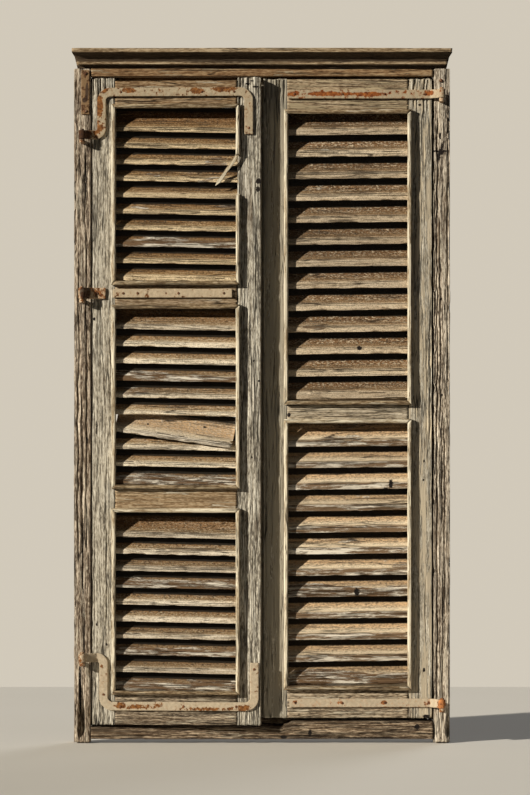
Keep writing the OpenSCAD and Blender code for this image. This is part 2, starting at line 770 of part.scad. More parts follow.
// A bent strap: a level run with an upright leg at each end. The hinge-side leg turns out to
// the pintle. up is 1 where the legs rise from the run and -1 where they hang from it
module bent_strap(leg_x, end_x, z, leg_l, end_l, up, nails) {
    turn_z = z + up * (leg_l - turn_r);
    difference() {
        union() {
            band_x(leg_x + bend_r, end_x - bend_r, left_y, z);
            bend(leg_x + bend_r, left_y, z + up * bend_r, bend_r, -1, -up);
            bend(end_x - bend_r, left_y, z + up * bend_r, bend_r, 1, -up);
            band_z(leg_x, left_y, min(z + up * bend_r, turn_z), max(z + up * bend_r, turn_z));
            band_z(end_x, left_y, min(z + up * bend_r, z + up * end_l),
                   max(z + up * bend_r, z + up * end_l));
            bend(leg_x - turn_r, left_y, turn_z, turn_r, 1, up);
            eye_arm(leg_x - turn_r, leg_x - turn_r, left_y, z + up * leg_l, -1, strap_w);
        }
        nail_holes(nails, left_y, over);
    }
}

module left_strap_top() {
    color("#a78e6d") left_ajar()
        bent_strap(left_top_leg_x, left_top_end_x, left_top_strap_z, left_top_leg_l,
                   left_top_end_l, -1, left_top_nails);
}

module left_strap_bottom() {
    color("#c0ab86") left_ajar()
        bent_strap(left_low_leg_x, left_low_end_x, left_low_strap_z, left_low_leg_l,
                   left_low_end_l, 1, left_low_nails);
}

module left_strap_middle() {
    color("#ae9a76") left_ajar() difference() {
        band_x(left_mid_x, left_mid_x + left_mid_strap_l, left_y, left_mid_strap_z);
        nail_holes(left_mid_nails, left_y, over);
    }
}

// The rusted plate that carries the middle eye, nailed to the hinge stile
module left_hinge_plate() {
    color("#8a5a3a") left_ajar() difference() {
        eye_arm(left_x0 + hinge_plate_l, left_x0 + strap_t, left_y, left_mid_strap_z, -1,
                hinge_plate_w);
        nail_holes([hinge_plate_nail], left_y, over);
    }
}

module left_nails() {
    color("#4f4238") left_ajar()
        for (place = concat(left_face_nails, [hinge_plate_nail]))
            nail(place[0], left_y - strap_t, place[1]);
}

// The right leaf's pieces

right_pitches = [right_bottom_pitch, right_top_pitch];

module right_housings(panel) {
    housing_rows(right_open_x, right_open_w, right_y,
                 open_z(right_z0, right_rails, right_opens, panel), right_opens[panel],
                 right_slat_foot, right_pitches[panel], right_slat_t, right_tilt, -right_rack);
}

module right_stile(x, w) {
    difference() {
        translate([x, right_y, right_z0]) cube([w, leaf_t, right_h]);
        mortises(right_open_x, right_open_w, right_y, right_z0, right_rails, right_opens);
        for (panel = [0 : len(right_opens) - 1]) right_housings(panel);
        nail_holes(right_face_nails, right_y, nail_l);
    }
}

module right_meeting_stile() {
    color("#a0968a") right_stile(right_x0, right_meeting_stile_w);
}

module right_hinge_stile() {
    color("#998f84") difference() {
        right_stile(right_x1 - right_hinge_stile_w, right_hinge_stile_w);
        // A hollow worn into the foot
        translate([right_x1 - knot_r, right_y - over, right_z0 + knot_r]) rotate([-90, 0, 0])
            cylinder(h = worn_d + over, r = worn_r);
    }
}

module right_rail(i) {
    color("#a08b6a") difference() {
        leaf_rail(right_open_x, right_open_w, right_y,
                  rail_z(right_z0, right_rails, right_opens, i), right_rails[i]);
        nail_holes(right_face_nails, right_y, nail_l);
    }
}

module right_slats(panel) {
    color("#ac9068")
        slat_rows(right_open_x, right_open_w, right_y,
                  open_z(right_z0, right_rails, right_opens, panel), right_opens[panel],
                  right_slat_foot, right_pitches[panel], right_slat_t, right_tilt, -right_rack, -1);
}

module right_bead(panel, side) {
    color("#cdb98f")
        panel_bead(side, right_open_x, right_open_w, right_y,
                   open_z(right_z0, right_rails, right_opens, panel), right_opens[panel]);
}

module right_strap(z, l, nails) {
    color("#b0926a") difference() {
        eye_arm(right_x1 - l, right_x1 - strap_t, right_y, z, 1, strap_w);
        nail_holes(nails, right_y, over);
    }
}

module right_nails() {
    color("#4f4238") for (place = right_face_nails) nail(place[0], right_y - strap_t, place[1]);
}

jamb_left();
jamb_right();
frame_head();
sill_rail();
cornice();
jamb_plate();
jamb_screws();
pintle(-1, left_top_eye_z, strap_w);  // pintle_left_top
pintle(-1, left_mid_eye_z, hinge_plate_w);  // pintle_left_middle
pintle(-1, left_low_eye_z, strap_w);  // pintle_left_bottom
pintle(1, right_top_eye_z, strap_w);  // pintle_right_top
pintle(1, right_low_eye_z, strap_w);  // pintle_right_bottom
left_hinge_stile();
left_meeting_stile();
left_rail(0);  // left_bottom_rail
left_rail(1);  // left_lower_rail
left_rail(2);  // left_upper_rail
left_rail(3);  // left_top_rail
left_slats(0, -1);  // left_slats_bottom
left_slats(1, slipped_row);  // left_slats_middle
left_slats(2, -1);  // left_slats_top
left_slipped_slat();
left_bead(0, 0);  // left_bottom_bead_sill
left_bead(0, 1);  // left_bottom_bead_meeting
left_bead(0, 2);  // left_bottom_bead_head
left_bead(0, 3);  // left_bottom_bead_hinge
left_bead(1, 0);  // left_middle_bead_sill
left_bead(1, 1);  // left_middle_bead_meeting
left_bead(1, 2);  // left_middle_bead_head
left_bead(1, 3);  // left_middle_bead_hinge
left_bead(2, 0);  // left_top_bead_sill
left_top_bead_broken();
left_bead(2, 2);  // left_top_bead_head
left_bead(2, 3);  // left_top_bead_hinge
left_strap_top();
left_strap_middle();
left_strap_bottom();
left_hinge_plate();
left_nails();
right_hinge_stile();
right_meeting_stile();
right_rail(0);  // right_bottom_rail
right_rail(1);  // right_middle_rail
right_rail(2);  // right_top_rail
right_slats(0);  // right_slats_bottom
right_slats(1);  // right_slats_top
right_bead(0, 0);  // right_bottom_bead_sill
right_bead(0, 1);  // right_bottom_bead_hinge
right_bead(0, 2);  // right_bottom_bead_head
right_bead(0, 3);  // right_bottom_bead_meeting
right_bead(1, 0);  // right_top_bead_sill
right_bead(1, 1);  // right_top_bead_hinge
right_bead(1, 2);  // right_top_bead_head
right_bead(1, 3);  // right_top_bead_meeting
right_strap(right_top_strap_z, right_top_strap_l, right_top_nails);  // right_strap_top
right_strap(right_low_strap_z, right_low_strap_l, right_low_nails);  // right_strap_bottom
right_nails();
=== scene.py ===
import json
import math

import bpy
import numpy as np
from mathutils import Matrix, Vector


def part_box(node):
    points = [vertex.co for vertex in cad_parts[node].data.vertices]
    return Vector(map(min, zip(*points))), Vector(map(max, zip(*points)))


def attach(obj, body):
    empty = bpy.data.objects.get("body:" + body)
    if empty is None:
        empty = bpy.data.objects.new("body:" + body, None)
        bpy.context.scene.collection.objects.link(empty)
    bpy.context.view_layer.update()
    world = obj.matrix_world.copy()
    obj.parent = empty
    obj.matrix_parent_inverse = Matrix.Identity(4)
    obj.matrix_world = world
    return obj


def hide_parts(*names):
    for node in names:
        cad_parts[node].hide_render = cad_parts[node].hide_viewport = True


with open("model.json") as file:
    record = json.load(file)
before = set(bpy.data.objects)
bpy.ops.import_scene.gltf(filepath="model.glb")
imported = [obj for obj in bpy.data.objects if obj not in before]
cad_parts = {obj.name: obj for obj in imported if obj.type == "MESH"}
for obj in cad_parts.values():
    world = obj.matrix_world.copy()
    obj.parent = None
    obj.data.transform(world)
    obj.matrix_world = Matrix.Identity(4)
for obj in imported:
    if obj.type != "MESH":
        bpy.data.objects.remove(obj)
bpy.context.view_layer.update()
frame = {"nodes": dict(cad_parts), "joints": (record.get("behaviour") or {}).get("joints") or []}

# The camera stands far off and square to the wall, as the photograph was taken: at 2.6 mm
# to a pixel, with the jambs' feet 743 pixels down and the frame's middle 262 across.
PIXEL = 0.0026
PHOTO = (530, 795)
MIDDLE_PIXEL, FOOT_PIXEL = 262, 743
foot_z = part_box("jamb_left")[0].z
leaf_face_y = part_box("right_meeting_stile")[0].y
VIEW_DISTANCE = 9.0
SENSOR = 0.024
view_x = (PHOTO[0] / 2 - MIDDLE_PIXEL) * PIXEL
view_z = foot_z + (FOOT_PIXEL - PHOTO[1] / 2) * PIXEL
camera_data = bpy.data.cameras.new("camera")
camera_data.sensor_fit = "VERTICAL"
camera_data.sensor_height = SENSOR * 1000
camera_data.lens = SENSOR * 1000 * VIEW_DISTANCE / (PHOTO[1] * PIXEL)
camera_data.clip_end = 60
camera = bpy.data.objects.new("camera", camera_data)
camera.location = (view_x, leaf_face_y - VIEW_DISTANCE, view_z)
camera.rotation_euler = (math.radians(90), 0, 0)
bpy.context.scene.collection.objects.link(camera)
bpy.context.scene.camera = camera
bpy.context.scene.view_settings.view_transform = "Standard"


# The studio: one hard key light from the upper left, where the low sun stood, a weak light
# from behind for the back of the leaves, and a pale surround over a pale floor.
def lamp(name, travel, strength, spread, colour):
    data = bpy.data.lights.new(name, "SUN")
    data.energy = strength
    data.angle = math.radians(spread)
    data.color = colour
    made = bpy.data.objects.new(name, data)
    made.rotation_euler = Vector(travel).to_track_quat("-Z", "Y").to_euler()
    bpy.context.scene.collection.objects.link(made)


lamp("key", (1.50, 1.0, -0.66), 5.2, 1.6, (1.0, 0.955, 0.86))
lamp("back_fill", (-0.6, -1.0, -0.5), 1.0, 30, (0.92, 0.95, 1.0))


class Wire:
    """A shader socket. Arithmetic on it adds Math nodes, and node() makes any other node."""

    def __init__(self, tree, socket=None):
        self.tree, self.socket = tree, socket

    def node(self, kind, out=0, settings=(), inputs=()):
        made = self.tree.nodes.new(kind)
        for name, value in dict(settings).items():
            if name == "stops":
                ramp = made.color_ramp
                while len(ramp.elements) < len(value):
                    ramp.elements.new(1.0)
                for element, (place, shade) in zip(ramp.elements, value):
                    element.position = place
                    element.color = tuple(shade) + (1.0,)
            else:
                setattr(made, name, value)
        for name, value in dict(inputs).items():
            if isinstance(value, Wire):
                self.tree.links.new(value.socket, made.inputs[name])
            else:
                made.inputs[name].default_value = value
        return Wire(self.tree, made.outputs[out])

    def maths(self, operation, a, b=0.0, clamp=False):
        return self.node("ShaderNodeMath", 0, {"operation": operation, "use_clamp": clamp},
                         {0: a, 1: b})

    def __add__(self, other):
        return self.maths("ADD", self, other)

    __radd__ = __add__

    def __mul__(self, other):
        return self.maths("MULTIPLY", self, other)

    __rmul__ = __mul__

    def __sub__(self, other):
        return self.maths("SUBTRACT", self, other)

    def __rsub__(self, other):
        return self.maths("SUBTRACT", other, self)

    def ramp(self, low, high):
        """0 below low and 1 above high, with a straight run between."""
        return self.maths("MULTIPLY", self - low, 1.0 / (high - low), clamp=True)

    def mixed(self, factor, first, second):
        """The colour first, and second where the factor is 1."""
        return self.node("ShaderNodeMix", 2, {"data_type": "RGBA"},
                         {0: factor, 6: colour(first), 7: colour(second)})


def colour(value):
    return value if isinstance(value, Wire) else tuple(value) + (1.0,)


world = bpy.data.worlds.new("studio")
bpy.context.scene.world = world
world.use_nodes = True
sky = Wire(world.node_tree)
for old in list(world.node_tree.nodes):
    world.node_tree.nodes.remove(old)
rays = [sky.node("ShaderNodeLightPath", name) for name in ("Is Camera Ray", "Is Glossy Ray",
                                                           "Is Transmission Ray")]
seen = sky.maths("MAXIMUM", sky.maths("MAXIMUM", rays[0], rays[1]), rays[2])
light = sky.node("ShaderNodeBackground", 0, (), {"Color": (0.78, 0.86, 1.0, 1.0), "Strength": 0.032})
shown = sky.node("ShaderNodeBackground", 0, (), {"Color": (0.64, 0.585, 0.49, 1.0), "Strength": 1.0})
surround = sky.node("ShaderNodeMixShader", 0, (), {0: seen, 1: light, 2: shown})
output = world.node_tree.nodes.new("ShaderNodeOutputWorld")
world.node_tree.links.new(surround.socket, output.inputs["Surface"])

FLOOR_HALF = 1.7
floor_mesh = bpy.data.meshes.new("floor")
floor_mesh.from_pydata([(x * FLOOR_HALF, y * FLOOR_HALF, foot_z - 0.001)
                        for x, y in ((-1, -1), (1, -1), (1, 1), (-1, 1))], [], [(0, 1, 2, 3)])
floor = bpy.data.objects.new("floor", floor_mesh)
bpy.context.scene.collection.objects.link(floor)


def new_finish(name):
    """An empty material with its tree, ready for the nodes of one finish."""
    made = bpy.data.materials.new(name)
    made.use_nodes = True
    for old in list(made.node_tree.nodes):
        made.node_tree.nodes.remove(old)
    return made, Wire(made.node_tree)


def close_finish(tree, base, roughness, height=None, bump_depth=0.001, metallic=0.0):
    """The surface shader, with a bump of that depth in metres, and the material's output."""
    shader = tree.node("ShaderNodeBsdfPrincipled", 0, (),
                       {"Base Color": base, "Roughness": roughness, "Metallic": metallic,
                        "Specular IOR Level": 0.2})
    if height is not None:
        bump = tree.node("ShaderNodeBump", 0, (), {"Height": height, "Distance": bump_depth,
                                                   "Strength": 1.0})
        tree.tree.links.new(bump.socket, shader.socket.node.inputs["Normal"])
    end = tree.tree.nodes.new("ShaderNodeOutputMaterial")
    tree.tree.links.new(shader.socket, end.inputs["Surface"])


floor_finish, tree = new_finish("pale_floor")
speckle = tree.node("ShaderNodeTexNoise", 0, (), {"Scale": 3.0, "Detail": 3.0})
close_finish(tree, tree.mixed(speckle, (0.66, 0.62, 0.55), (0.72, 0.68, 0.61)), 0.9)
floor_mesh.materials.append(floor_finish)


# The jambs are two old upright boards with a stop lip behind the leaves. The bare wood is
# grey-brown, deeply checked along the grain, and rotted open near both feet.
RNG = np.random.default_rng(41)


def lattice(i, j, k, seed):
    """A fixed random number from -1 to 1 for each whole-numbered place."""
    mixed = (i.astype(np.int64) * 73856093) ^ (j.astype(np.int64) * 19349663)
    mixed ^= (k.astype(np.int64) * 83492791) ^ (seed * 2654435761)
    mixed &= 0xFFFFFFFF
    mixed = ((mixed ^ (mixed >> 15)) * 2246822519) & 0xFFFFFFFF
    mixed = ((mixed ^ (mixed >> 13)) * 3266489917) & 0xFFFFFFFF
    return ((mixed ^ (mixed >> 16)) & 0xFFFFFF) / float(0x7FFFFF) - 1.0


def rough(points, scale, seed):
    """Smooth noise from -1 to 1 at points times scale, for shaping wood."""
    p = points * np.asarray(scale)
    whole = np.floor(p)
    part = p - whole
    part = part * part * (3 - 2 * part)
    total = np.zeros(len(p))
    for corner in range(8):
        step = np.array([corner & 1, corner >> 1 & 1, corner >> 2 & 1])
        weight = np.prod(np.where(step, part, 1 - part), axis=1)
        at = whole + step
        total += weight * lattice(at[:, 0], at[:, 1], at[:, 2], seed)
    return total


def outline(corners, radius, spacings):
    """A closed section with rounded corners. Each corner's edge to the next gets its spacing.
    Returns the points, how near each is to a corner from 0 to 1, and the distance run."""
    corners = np.asarray(corners, float)
    points, near = [], []
    count = len(corners)
    for i in range(count):
        here, before, after = corners[i], corners[i - 1], corners[(i + 1) % count]
        back = (before - here) / np.linalg.norm(before - here)
        on = (after - here) / np.linalg.norm(after - here)
        half = math.acos(max(-1.0, min(1.0, float(back @ on)))) / 2
        size = min(radius, 0.45 * np.linalg.norm(before - here), 0.45 * np.linalg.norm(after - here))
        reach = size / math.tan(half) if half < 1.5 else 0.0
        reach = min(reach, 0.48 * np.linalg.norm(after - here), 0.48 * np.linalg.norm(before - here))
        start, end = here + back * reach, here + on * reach
        for t in (0.0, 0.33, 0.67, 1.0):
            points.append((1 - t) ** 2 * start + 2 * t * (1 - t) * here + t * t * end)
            near.append(1.0)
        nxt, far = corners[(i + 1) % count], corners[(i + 2) % count]
        on_back = -on
        on_next = (far - nxt) / np.linalg.norm(far - nxt)
        next_half = math.acos(max(-1.0, min(1.0, float(on_back @ on_next)))) / 2
        next_size = min(radius, 0.45 * np.linalg.norm(nxt - here), 0.45 * np.linalg.norm(far - nxt))
        next_reach = min(next_size / math.tan(next_half), 0.48 * np.linalg.norm(nxt - here))
        stop = nxt + on_back * next_reach
        run = np.linalg.norm(stop - end)
        pieces = max(1, int(round(run / spacings[i % len(spacings)])))
        for k in range(1, pieces):
            points.append(end + (stop - end) * k / pieces)
            near.append(math.exp(-min(k, pieces - k) / pieces * run / 0.004))
    points = np.array(points)
    run = np.concatenate([[0], np.cumsum(np.linalg.norm(np.diff(points, axis=0), axis=1))])
    return points, np.array(near), run


def wood_shell(section, length, spacing, place, wear=1.0, cracks=(), ends=(0.0012, 0.0012),
               warp=0.0006, shape=None, mitre=0.0, chips=0.0022, hold=None):
    """A length of wood swept along its grain and worn back from its true section.
    place is (origin, along, across, deep). cracks are (run, from, to, half width, depth), and
    hold says, from 0 to 1, how far a place in the section may wear.
    Returns points, faces, grain places and places within the piece from 0 to 1."""
    points, near, run = section
    seed = int(RNG.integers(1, 10 ** 6))
    middle = points.mean(axis=0)
    tangent = np.roll(points, -1, axis=0) - np.roll(points, 1, axis=0)
    normal = np.stack([tangent[:, 1], -tangent[:, 0]], axis=1)
    normal /= np.linalg.norm(normal, axis=1)[:, None]
    if np.sum(normal * (points - middle)) < 0:
        normal = -normal
    rings = max(3, int(round(length / spacing)) + 1)
    m = len(points)
    along = np.repeat(np.linspace(0, length, rings), m)
    flat = np.tile(points, (rings, 1))
    out = np.tile(normal, (rings, 1))
    close = np.tile(near, rings)
    runs = np.tile(run, rings)
    grain = np.column_stack([along, flat])
    fibre = 0.5 + 0.5 * rough(grain, (14, 330, 330), seed)
    broad = 0.5 + 0.5 * rough(grain, (5, 60, 60), seed + 1)
    chip = np.clip(rough(grain, (38, 25, 25), seed + 2) - 0.05, 0, 1) ** 1.5
    worn = np.clip(rough(grain, (7, 10, 10), seed + 3), -0.4, 1) + 0.4
    back = wear * (0.00045 * fibre + 0.0007 * broad)
    back += close * wear * (chips * 2.2 * chip + 0.0009 * worn)
    for place_run, low, high, half_width, depth in cracks:
        wander = half_width * 1.2 * rough(grain * [1, 0, 0], (30, 1, 1), seed + 5)
        taper = np.clip((along - low) / 0.02, 0, 1) * np.clip((high - along) / 0.02, 0, 1)
        back += depth * taper * np.exp(-((runs - place_run - wander) / half_width) ** 2)
    if hold is not None:
        back *= hold(flat)
    bend = warp * (1 + rough(grain * [1, 0, 0], (2.3, 1, 1), seed + 7)) / 2
    flat = flat - out * back[:, None]
    flat[:, 1] += bend * np.where(out[:, 1] < 0, 1, 0)
    along = along.copy()
    for end, size in ((0, ends[0]), (1, ends[1])):
        nearness = np.clip(1 - np.abs(along - end * length) / 0.012, 0, 1)
        fray = 0.5 + 0.5 * rough(np.column_stack([np.zeros(len(flat)), flat]), (1, 260, 260),
                                 seed + 11 + end)
        along += (1 if end == 0 else -1) * nearness * size * fray
    if mitre:
        along = mitre * flat[:, 0] + along / length * (length - 2 * mitre * flat[:, 0])
    if shape is not None:
        along, flat = shape(along, flat)
    body = np.column_stack([along, flat])
    faces = []
    ring = np.arange(m)
    nxt = np.roll(ring, -1)
    for r in range(rings - 1):
        faces.append(np.column_stack([r * m + ring, r * m + nxt, (r + 1) * m + nxt, (r + 1) * m + ring]))
    quads = np.concatenate(faces)
    extra, extra_grain, tris, caps = [], [], [], []
    total = rings * m
    for end, first in ((0, 0), (1, (rings - 1) * m)):
        rim = body[first:first + m]
        rim_grain = grain[first:first + m]
        centre = rim.mean(axis=0)
        previous = first + ring
        for shrink in (0.7, 0.35):
            inner = centre + (rim - centre) * shrink
            extra.append(inner)
            extra_grain.append(rim_grain.mean(axis=0) + (rim_grain - rim_grain.mean(axis=0)) * shrink)
            new = total + ring
            quad = np.column_stack([previous, np.roll(previous, -1), np.roll(new, -1), new])
            caps.append(quad[:, ::-1] if end == 0 else quad)
            previous, total = new, total + m
        extra.append(centre[None])
        extra_grain.append(rim_grain.mean(axis=0)[None])
        fan = np.column_stack([previous, np.roll(previous, -1), np.full(m, total)])
        tris.append(fan[:, ::-1] if end == 0 else fan)
        total += 1
    body = np.concatenate([body] + extra)
    grain = np.concatenate([grain] + extra_grain)
    inside = np.column_stack([grain[:, 0] / length,
                              (grain[:, 1] - points[:, 0].min()) / np.ptp(points[:, 0]),
                              (grain[:, 2] - points[:, 1].min()) / np.ptp(points[:, 1])])
    grain = grain + RNG.uniform(0, 40, 3)
    origin, l_axis, w_axis, d_axis = (np.asarray(v, float) for v in place)
    world_points = origin + body[:, :1] * l_axis + body[:, 1:2] * w_axis + body[:, 2:3] * d_axis
    polygons = [q for q in np.concatenate([quads] + caps)] + [t for t in np.concatenate(tris)]
    turned_in = np.dot(np.cross(l_axis, w_axis), d_axis) * signed_run(points) < 0
    if turned_in:
        polygons = [p[::-1] for p in polygons]
    tint = np.full(len(body), RNG.uniform(0, 1))
    return world_points, polygons, grain, inside, tint


def signed_run(points):
    """Positive where a section runs anticlockwise."""
    x, y = points[:, 0], points[:, 1]
    return float(np.sum(x * np.roll(y, -1) - np.roll(x, -1) * y))


def build(name, shells, finish, body, nodes, turn=None):
    """One piece from several shells, with its grain places stored for the finish."""
    points, polygons, grains, insides, tints = [], [], [], [], []
    count = 0
    for shell_points, shell_faces, grain, inside, tint in shells:
        points.append(shell_points)
        polygons += [tuple(int(i) + count for i in face) for face in shell_faces]
        grains.append(grain)
        insides.append(inside)
        tints.append(tint)
        count += len(shell_points)
    points = np.concatenate(points)
    if turn is not None:
        points = points @ turn.T
    mesh = bpy.data.meshes.new(name)
    mesh.from_pydata(points.tolist(), [], polygons)
    for label, values, kind, key in (("grain", np.concatenate(grains), "FLOAT_VECTOR", "vector"),
                                     ("inside", np.concatenate(insides), "FLOAT_VECTOR", "vector"),
                                     ("tint", np.concatenate(tints), "FLOAT", "value")):
        layer = mesh.attributes.new(label, kind, "POINT")
        layer.data.foreach_set(key, np.ascontiguousarray(values, np.float32).ravel())
    mesh.polygons.foreach_set("use_smooth", np.ones(len(mesh.polygons), bool))
    mesh.materials.append(finish)
    mesh.update()
    made = bpy.data.objects.new(name, mesh)
    bpy.context.scene.collection.objects.link(made)
    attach(made, body)
    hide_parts(*nodes)
    return made


class Board:
    """A wooden finish, with the fields that it is mixed from, in metres along the grain."""

    def __init__(self, name):
        self.finish, self.tree = new_finish(name)
        self.grain = self.tree.node("ShaderNodeAttribute", "Vector", {"attribute_name": "grain"})
        self.inside = self.tree.node("ShaderNodeAttribute", "Vector", {"attribute_name": "inside"})
        self.tint = self.tree.node("ShaderNodeAttribute", "Fac", {"attribute_name": "tint"})
        self.streak = self.field((12, 250, 250), 3.0, 0.62)
        self.fine = self.field((75, 400, 400), 2.0, 0.65)
        self.patch = self.field((4.5, 15, 15), 4.0, 0.6)
        self.band = self.field((2.4, 50, 50), 3.0, 0.55)

    def field(self, scale, detail, roughness=0.6):
        stretched = self.tree.node("ShaderNodeVectorMath", 0, {"operation": "MULTIPLY"},
                                   {0: self.grain, 1: scale})
        return self.tree.node("ShaderNodeTexNoise", 0, (), {"Vector": stretched, "Scale": 1.0,
                                                            "Detail": detail, "Roughness": roughness})

    def checks(self, amount):
        """Dark lines where the wood has opened along the grain, wide ones and hair-fine ones."""
        wide = self.tree.maths("ABSOLUTE", self.field((2.4, 42, 42), 2.5, 0.5) - 0.5)
        hair = self.tree.maths("ABSOLUTE", self.field((5.5, 150, 150), 2.0, 0.5) - 0.5)
        wide = (1.0 - wide.ramp(0.003, 0.010 + 0.014 * amount)) * self.patch.ramp(0.55 - 0.13 * amount, 0.58)
        hair = (1.0 - hair.ramp(0.006, 0.022 + 0.028 * amount)) * self.band.ramp(0.52 - 0.09 * amount, 0.56)
        return self.tree.maths("MAXIMUM", wide, hair * 0.75)

    def bare(self, dark, middle, light, contrast=1.0):
        tone = self.streak * 0.50 + self.band * 0.13 + self.patch * 0.10 + self.fine * 0.27
        spread = 0.095 / contrast
        shades = self.tree.node("ShaderNodeValToRGB", 0, {"stops": (
            (0.5 - spread, dark), (0.5, middle), (0.5 + spread, light))}, {0: tone})
        shades = self.tree.mixed(self.fine.ramp(0.53, 0.66) * 0.45, shades, light)
        return self.tree.mixed(self.fine.ramp(0.46, 0.33) * 0.6, shades, dark)

    def marked(self, base, height, marks):
        """Near-black marks at photo places, mostly holes and knots, and on the sill a painted shadow:
        (across, down, half width, half height).
        """
        if not marks:
            return base, height
        place = self.tree.node("ShaderNodeTexCoord", "Object")
        ragged = self.tree.node("ShaderNodeTexNoise", 0, (), {"Vector": place, "Scale": 420.0,
                                                              "Detail": 4.0})
        spread = patches(self.tree, place, marks) + (ragged - 0.5) * 2.2
        mark = spread.ramp(0.25, 0.45)
        return self.tree.mixed(mark, base, (0.012, 0.008, 0.006)), height - mark * 1.6


def patches(tree, place, marks):
    """1 at the middle of each mark, falling to 0 at its rim and below 0 outside all of them."""
    across = tree.node("ShaderNodeSeparateXYZ", 0, (), {0: place})
    up = tree.node("ShaderNodeSeparateXYZ", 2, (), {0: place})
    total = None
    for px, py, half_w, half_h, *strength in marks:
        dx = (across - (px - MIDDLE_PIXEL) * PIXEL) * (1 / (half_w * PIXEL))
        dz = (up - (foot_z + (FOOT_PIXEL - py) * PIXEL)) * (1 / (half_h * PIXEL))
        one = (1.0 - dx * dx - dz * dz) * (strength[0] if strength else 1.0)
        one = tree.maths("MAXIMUM", one, -0.3)
        total = one if total is None else tree.maths("MAXIMUM", total, one)
    return total


def wood_finish(name, dark, middle, light, crack=0.5, contrast=1.0, paint=None, cover=0.0,
                stain=(0.12, 0.075, 0.04), stained=0.3, depth=0.0022, marks=()):
    """Weathered wood: streaks along the grain, open checks, stains and what is left of the paint."""
    board = Board(name)
    tree = board.tree
    base = board.bare(dark, middle, light, contrast)
    spill = board.field((2.6, 12, 12), 5.0, 0.66)
    base = tree.mixed(spill.ramp(0.66 - stained * 0.3, 0.76 - stained * 0.2) * 0.7, base, stain)
    open_check = board.checks(crack)
    height = board.streak * 0.6 + board.fine * 0.22 - open_check * 1.2
    if paint is not None:
        flake = board.field((9, 85, 85), 6.0, 0.68) + (board.streak - 0.5) * 0.3
        kept = flake.ramp(0.64 - cover * 0.25, 0.655 - cover * 0.25) * (1.0 - open_check)
        coat = tree.mixed(board.band.ramp(0.36, 0.64), tuple(c * 0.72 for c in paint), paint)
        base = tree.mixed(kept, base, coat)
        height = height + kept * 0.3
    base = tree.mixed(open_check * 0.9, base, tuple(c * 0.22 for c in dark))
    base, height = board.marked(base, height, marks)
    close_finish(tree, base, board.fine * 0.12 + 0.82, height, depth)
    return board.finish


def box_of(points):
    return points.min(axis=0), points.max(axis=0)


def vectors_of(mesh, what):
    values = np.zeros(len(mesh.vertices) * 3, np.float32)
    mesh.vertices.foreach_get(what, values)
    return values.reshape(-1, 3).astype(float)


def cad_points(node):
    return vectors_of(frame["nodes"][node].data, "co")


X, Y, Z = np.eye(3)
JAMB_LOOKS = {
    "jamb_left": dict(dark=(0.050, 0.032, 0.020), middle=(0.34, 0.262, 0.185), light=(0.70, 0.59, 0.45),
                      marks=((86, 180, 0.7, 25), (83, 560, 0.6, 50), (87, 440, 1.2, 5),
                             (84, 640, 0.8, 40), (80, 690, 1.5, 30), (85, 330, 0.5, 40))),
    "jamb_right": dict(dark=(0.060, 0.042, 0.028), middle=(0.47, 0.385, 0.285), light=(0.78, 0.68, 0.54),
                       marks=((440.7, 152, 3.0, 3.4, 1.3), (436, 151, 5, 1.0), (444, 151, 4, 1.2),
                              (439, 156, 1.6, 5), (442, 147, 1.4, 5), (440, 136, 1.3, 4),
                              (441, 299, 1.4, 1.6), (442, 395, 1.2, 1.3), (440, 262, 0.8, 9),
                              (441, 500, 0.5, 50), (443, 600, 0.5, 50), (442, 225, 0.5, 40))),
}
JAMB_FACE = 0.045
HEAD_H = 0.021
SILL_WEAR = 0.016
STOP_W = 0.012
STOP_D = 0.013
STOP_IN = 0.006


def batten(width, depth):
    """The section of a thin square strip."""
    return outline([(0, 0), (width, 0), (width, depth), (0, depth)], 0.001, (0.003,))


def rotted(low, high, left, right, depth, seed):
    """A stretch rotted away from the face between two places across it."""
    def shape(along, flat):
        middle, half = (left + right) / 2, (right - left) / 2
        ragged = rough(np.column_stack([along, flat]), (24, 90, 90), seed)
        taper = np.clip((along - low) / 0.02, 0, 1) * np.clip((high - along) / (high - low) * 1.6, 0, 1)
        inside = np.clip(1.25 - np.abs(flat[:, 0] - middle) / (half * (0.4 + 0.6 * taper) + 1e-6)
                         + 0.35 * ragged, 0, 1)
        moved = flat.copy()
        front = np.clip(1 - flat[:, 1] / 0.03, 0, 1)
        moved[:, 1] += depth * taper * np.clip(inside * 2, 0, 1) * front
        return along, moved
    return shape


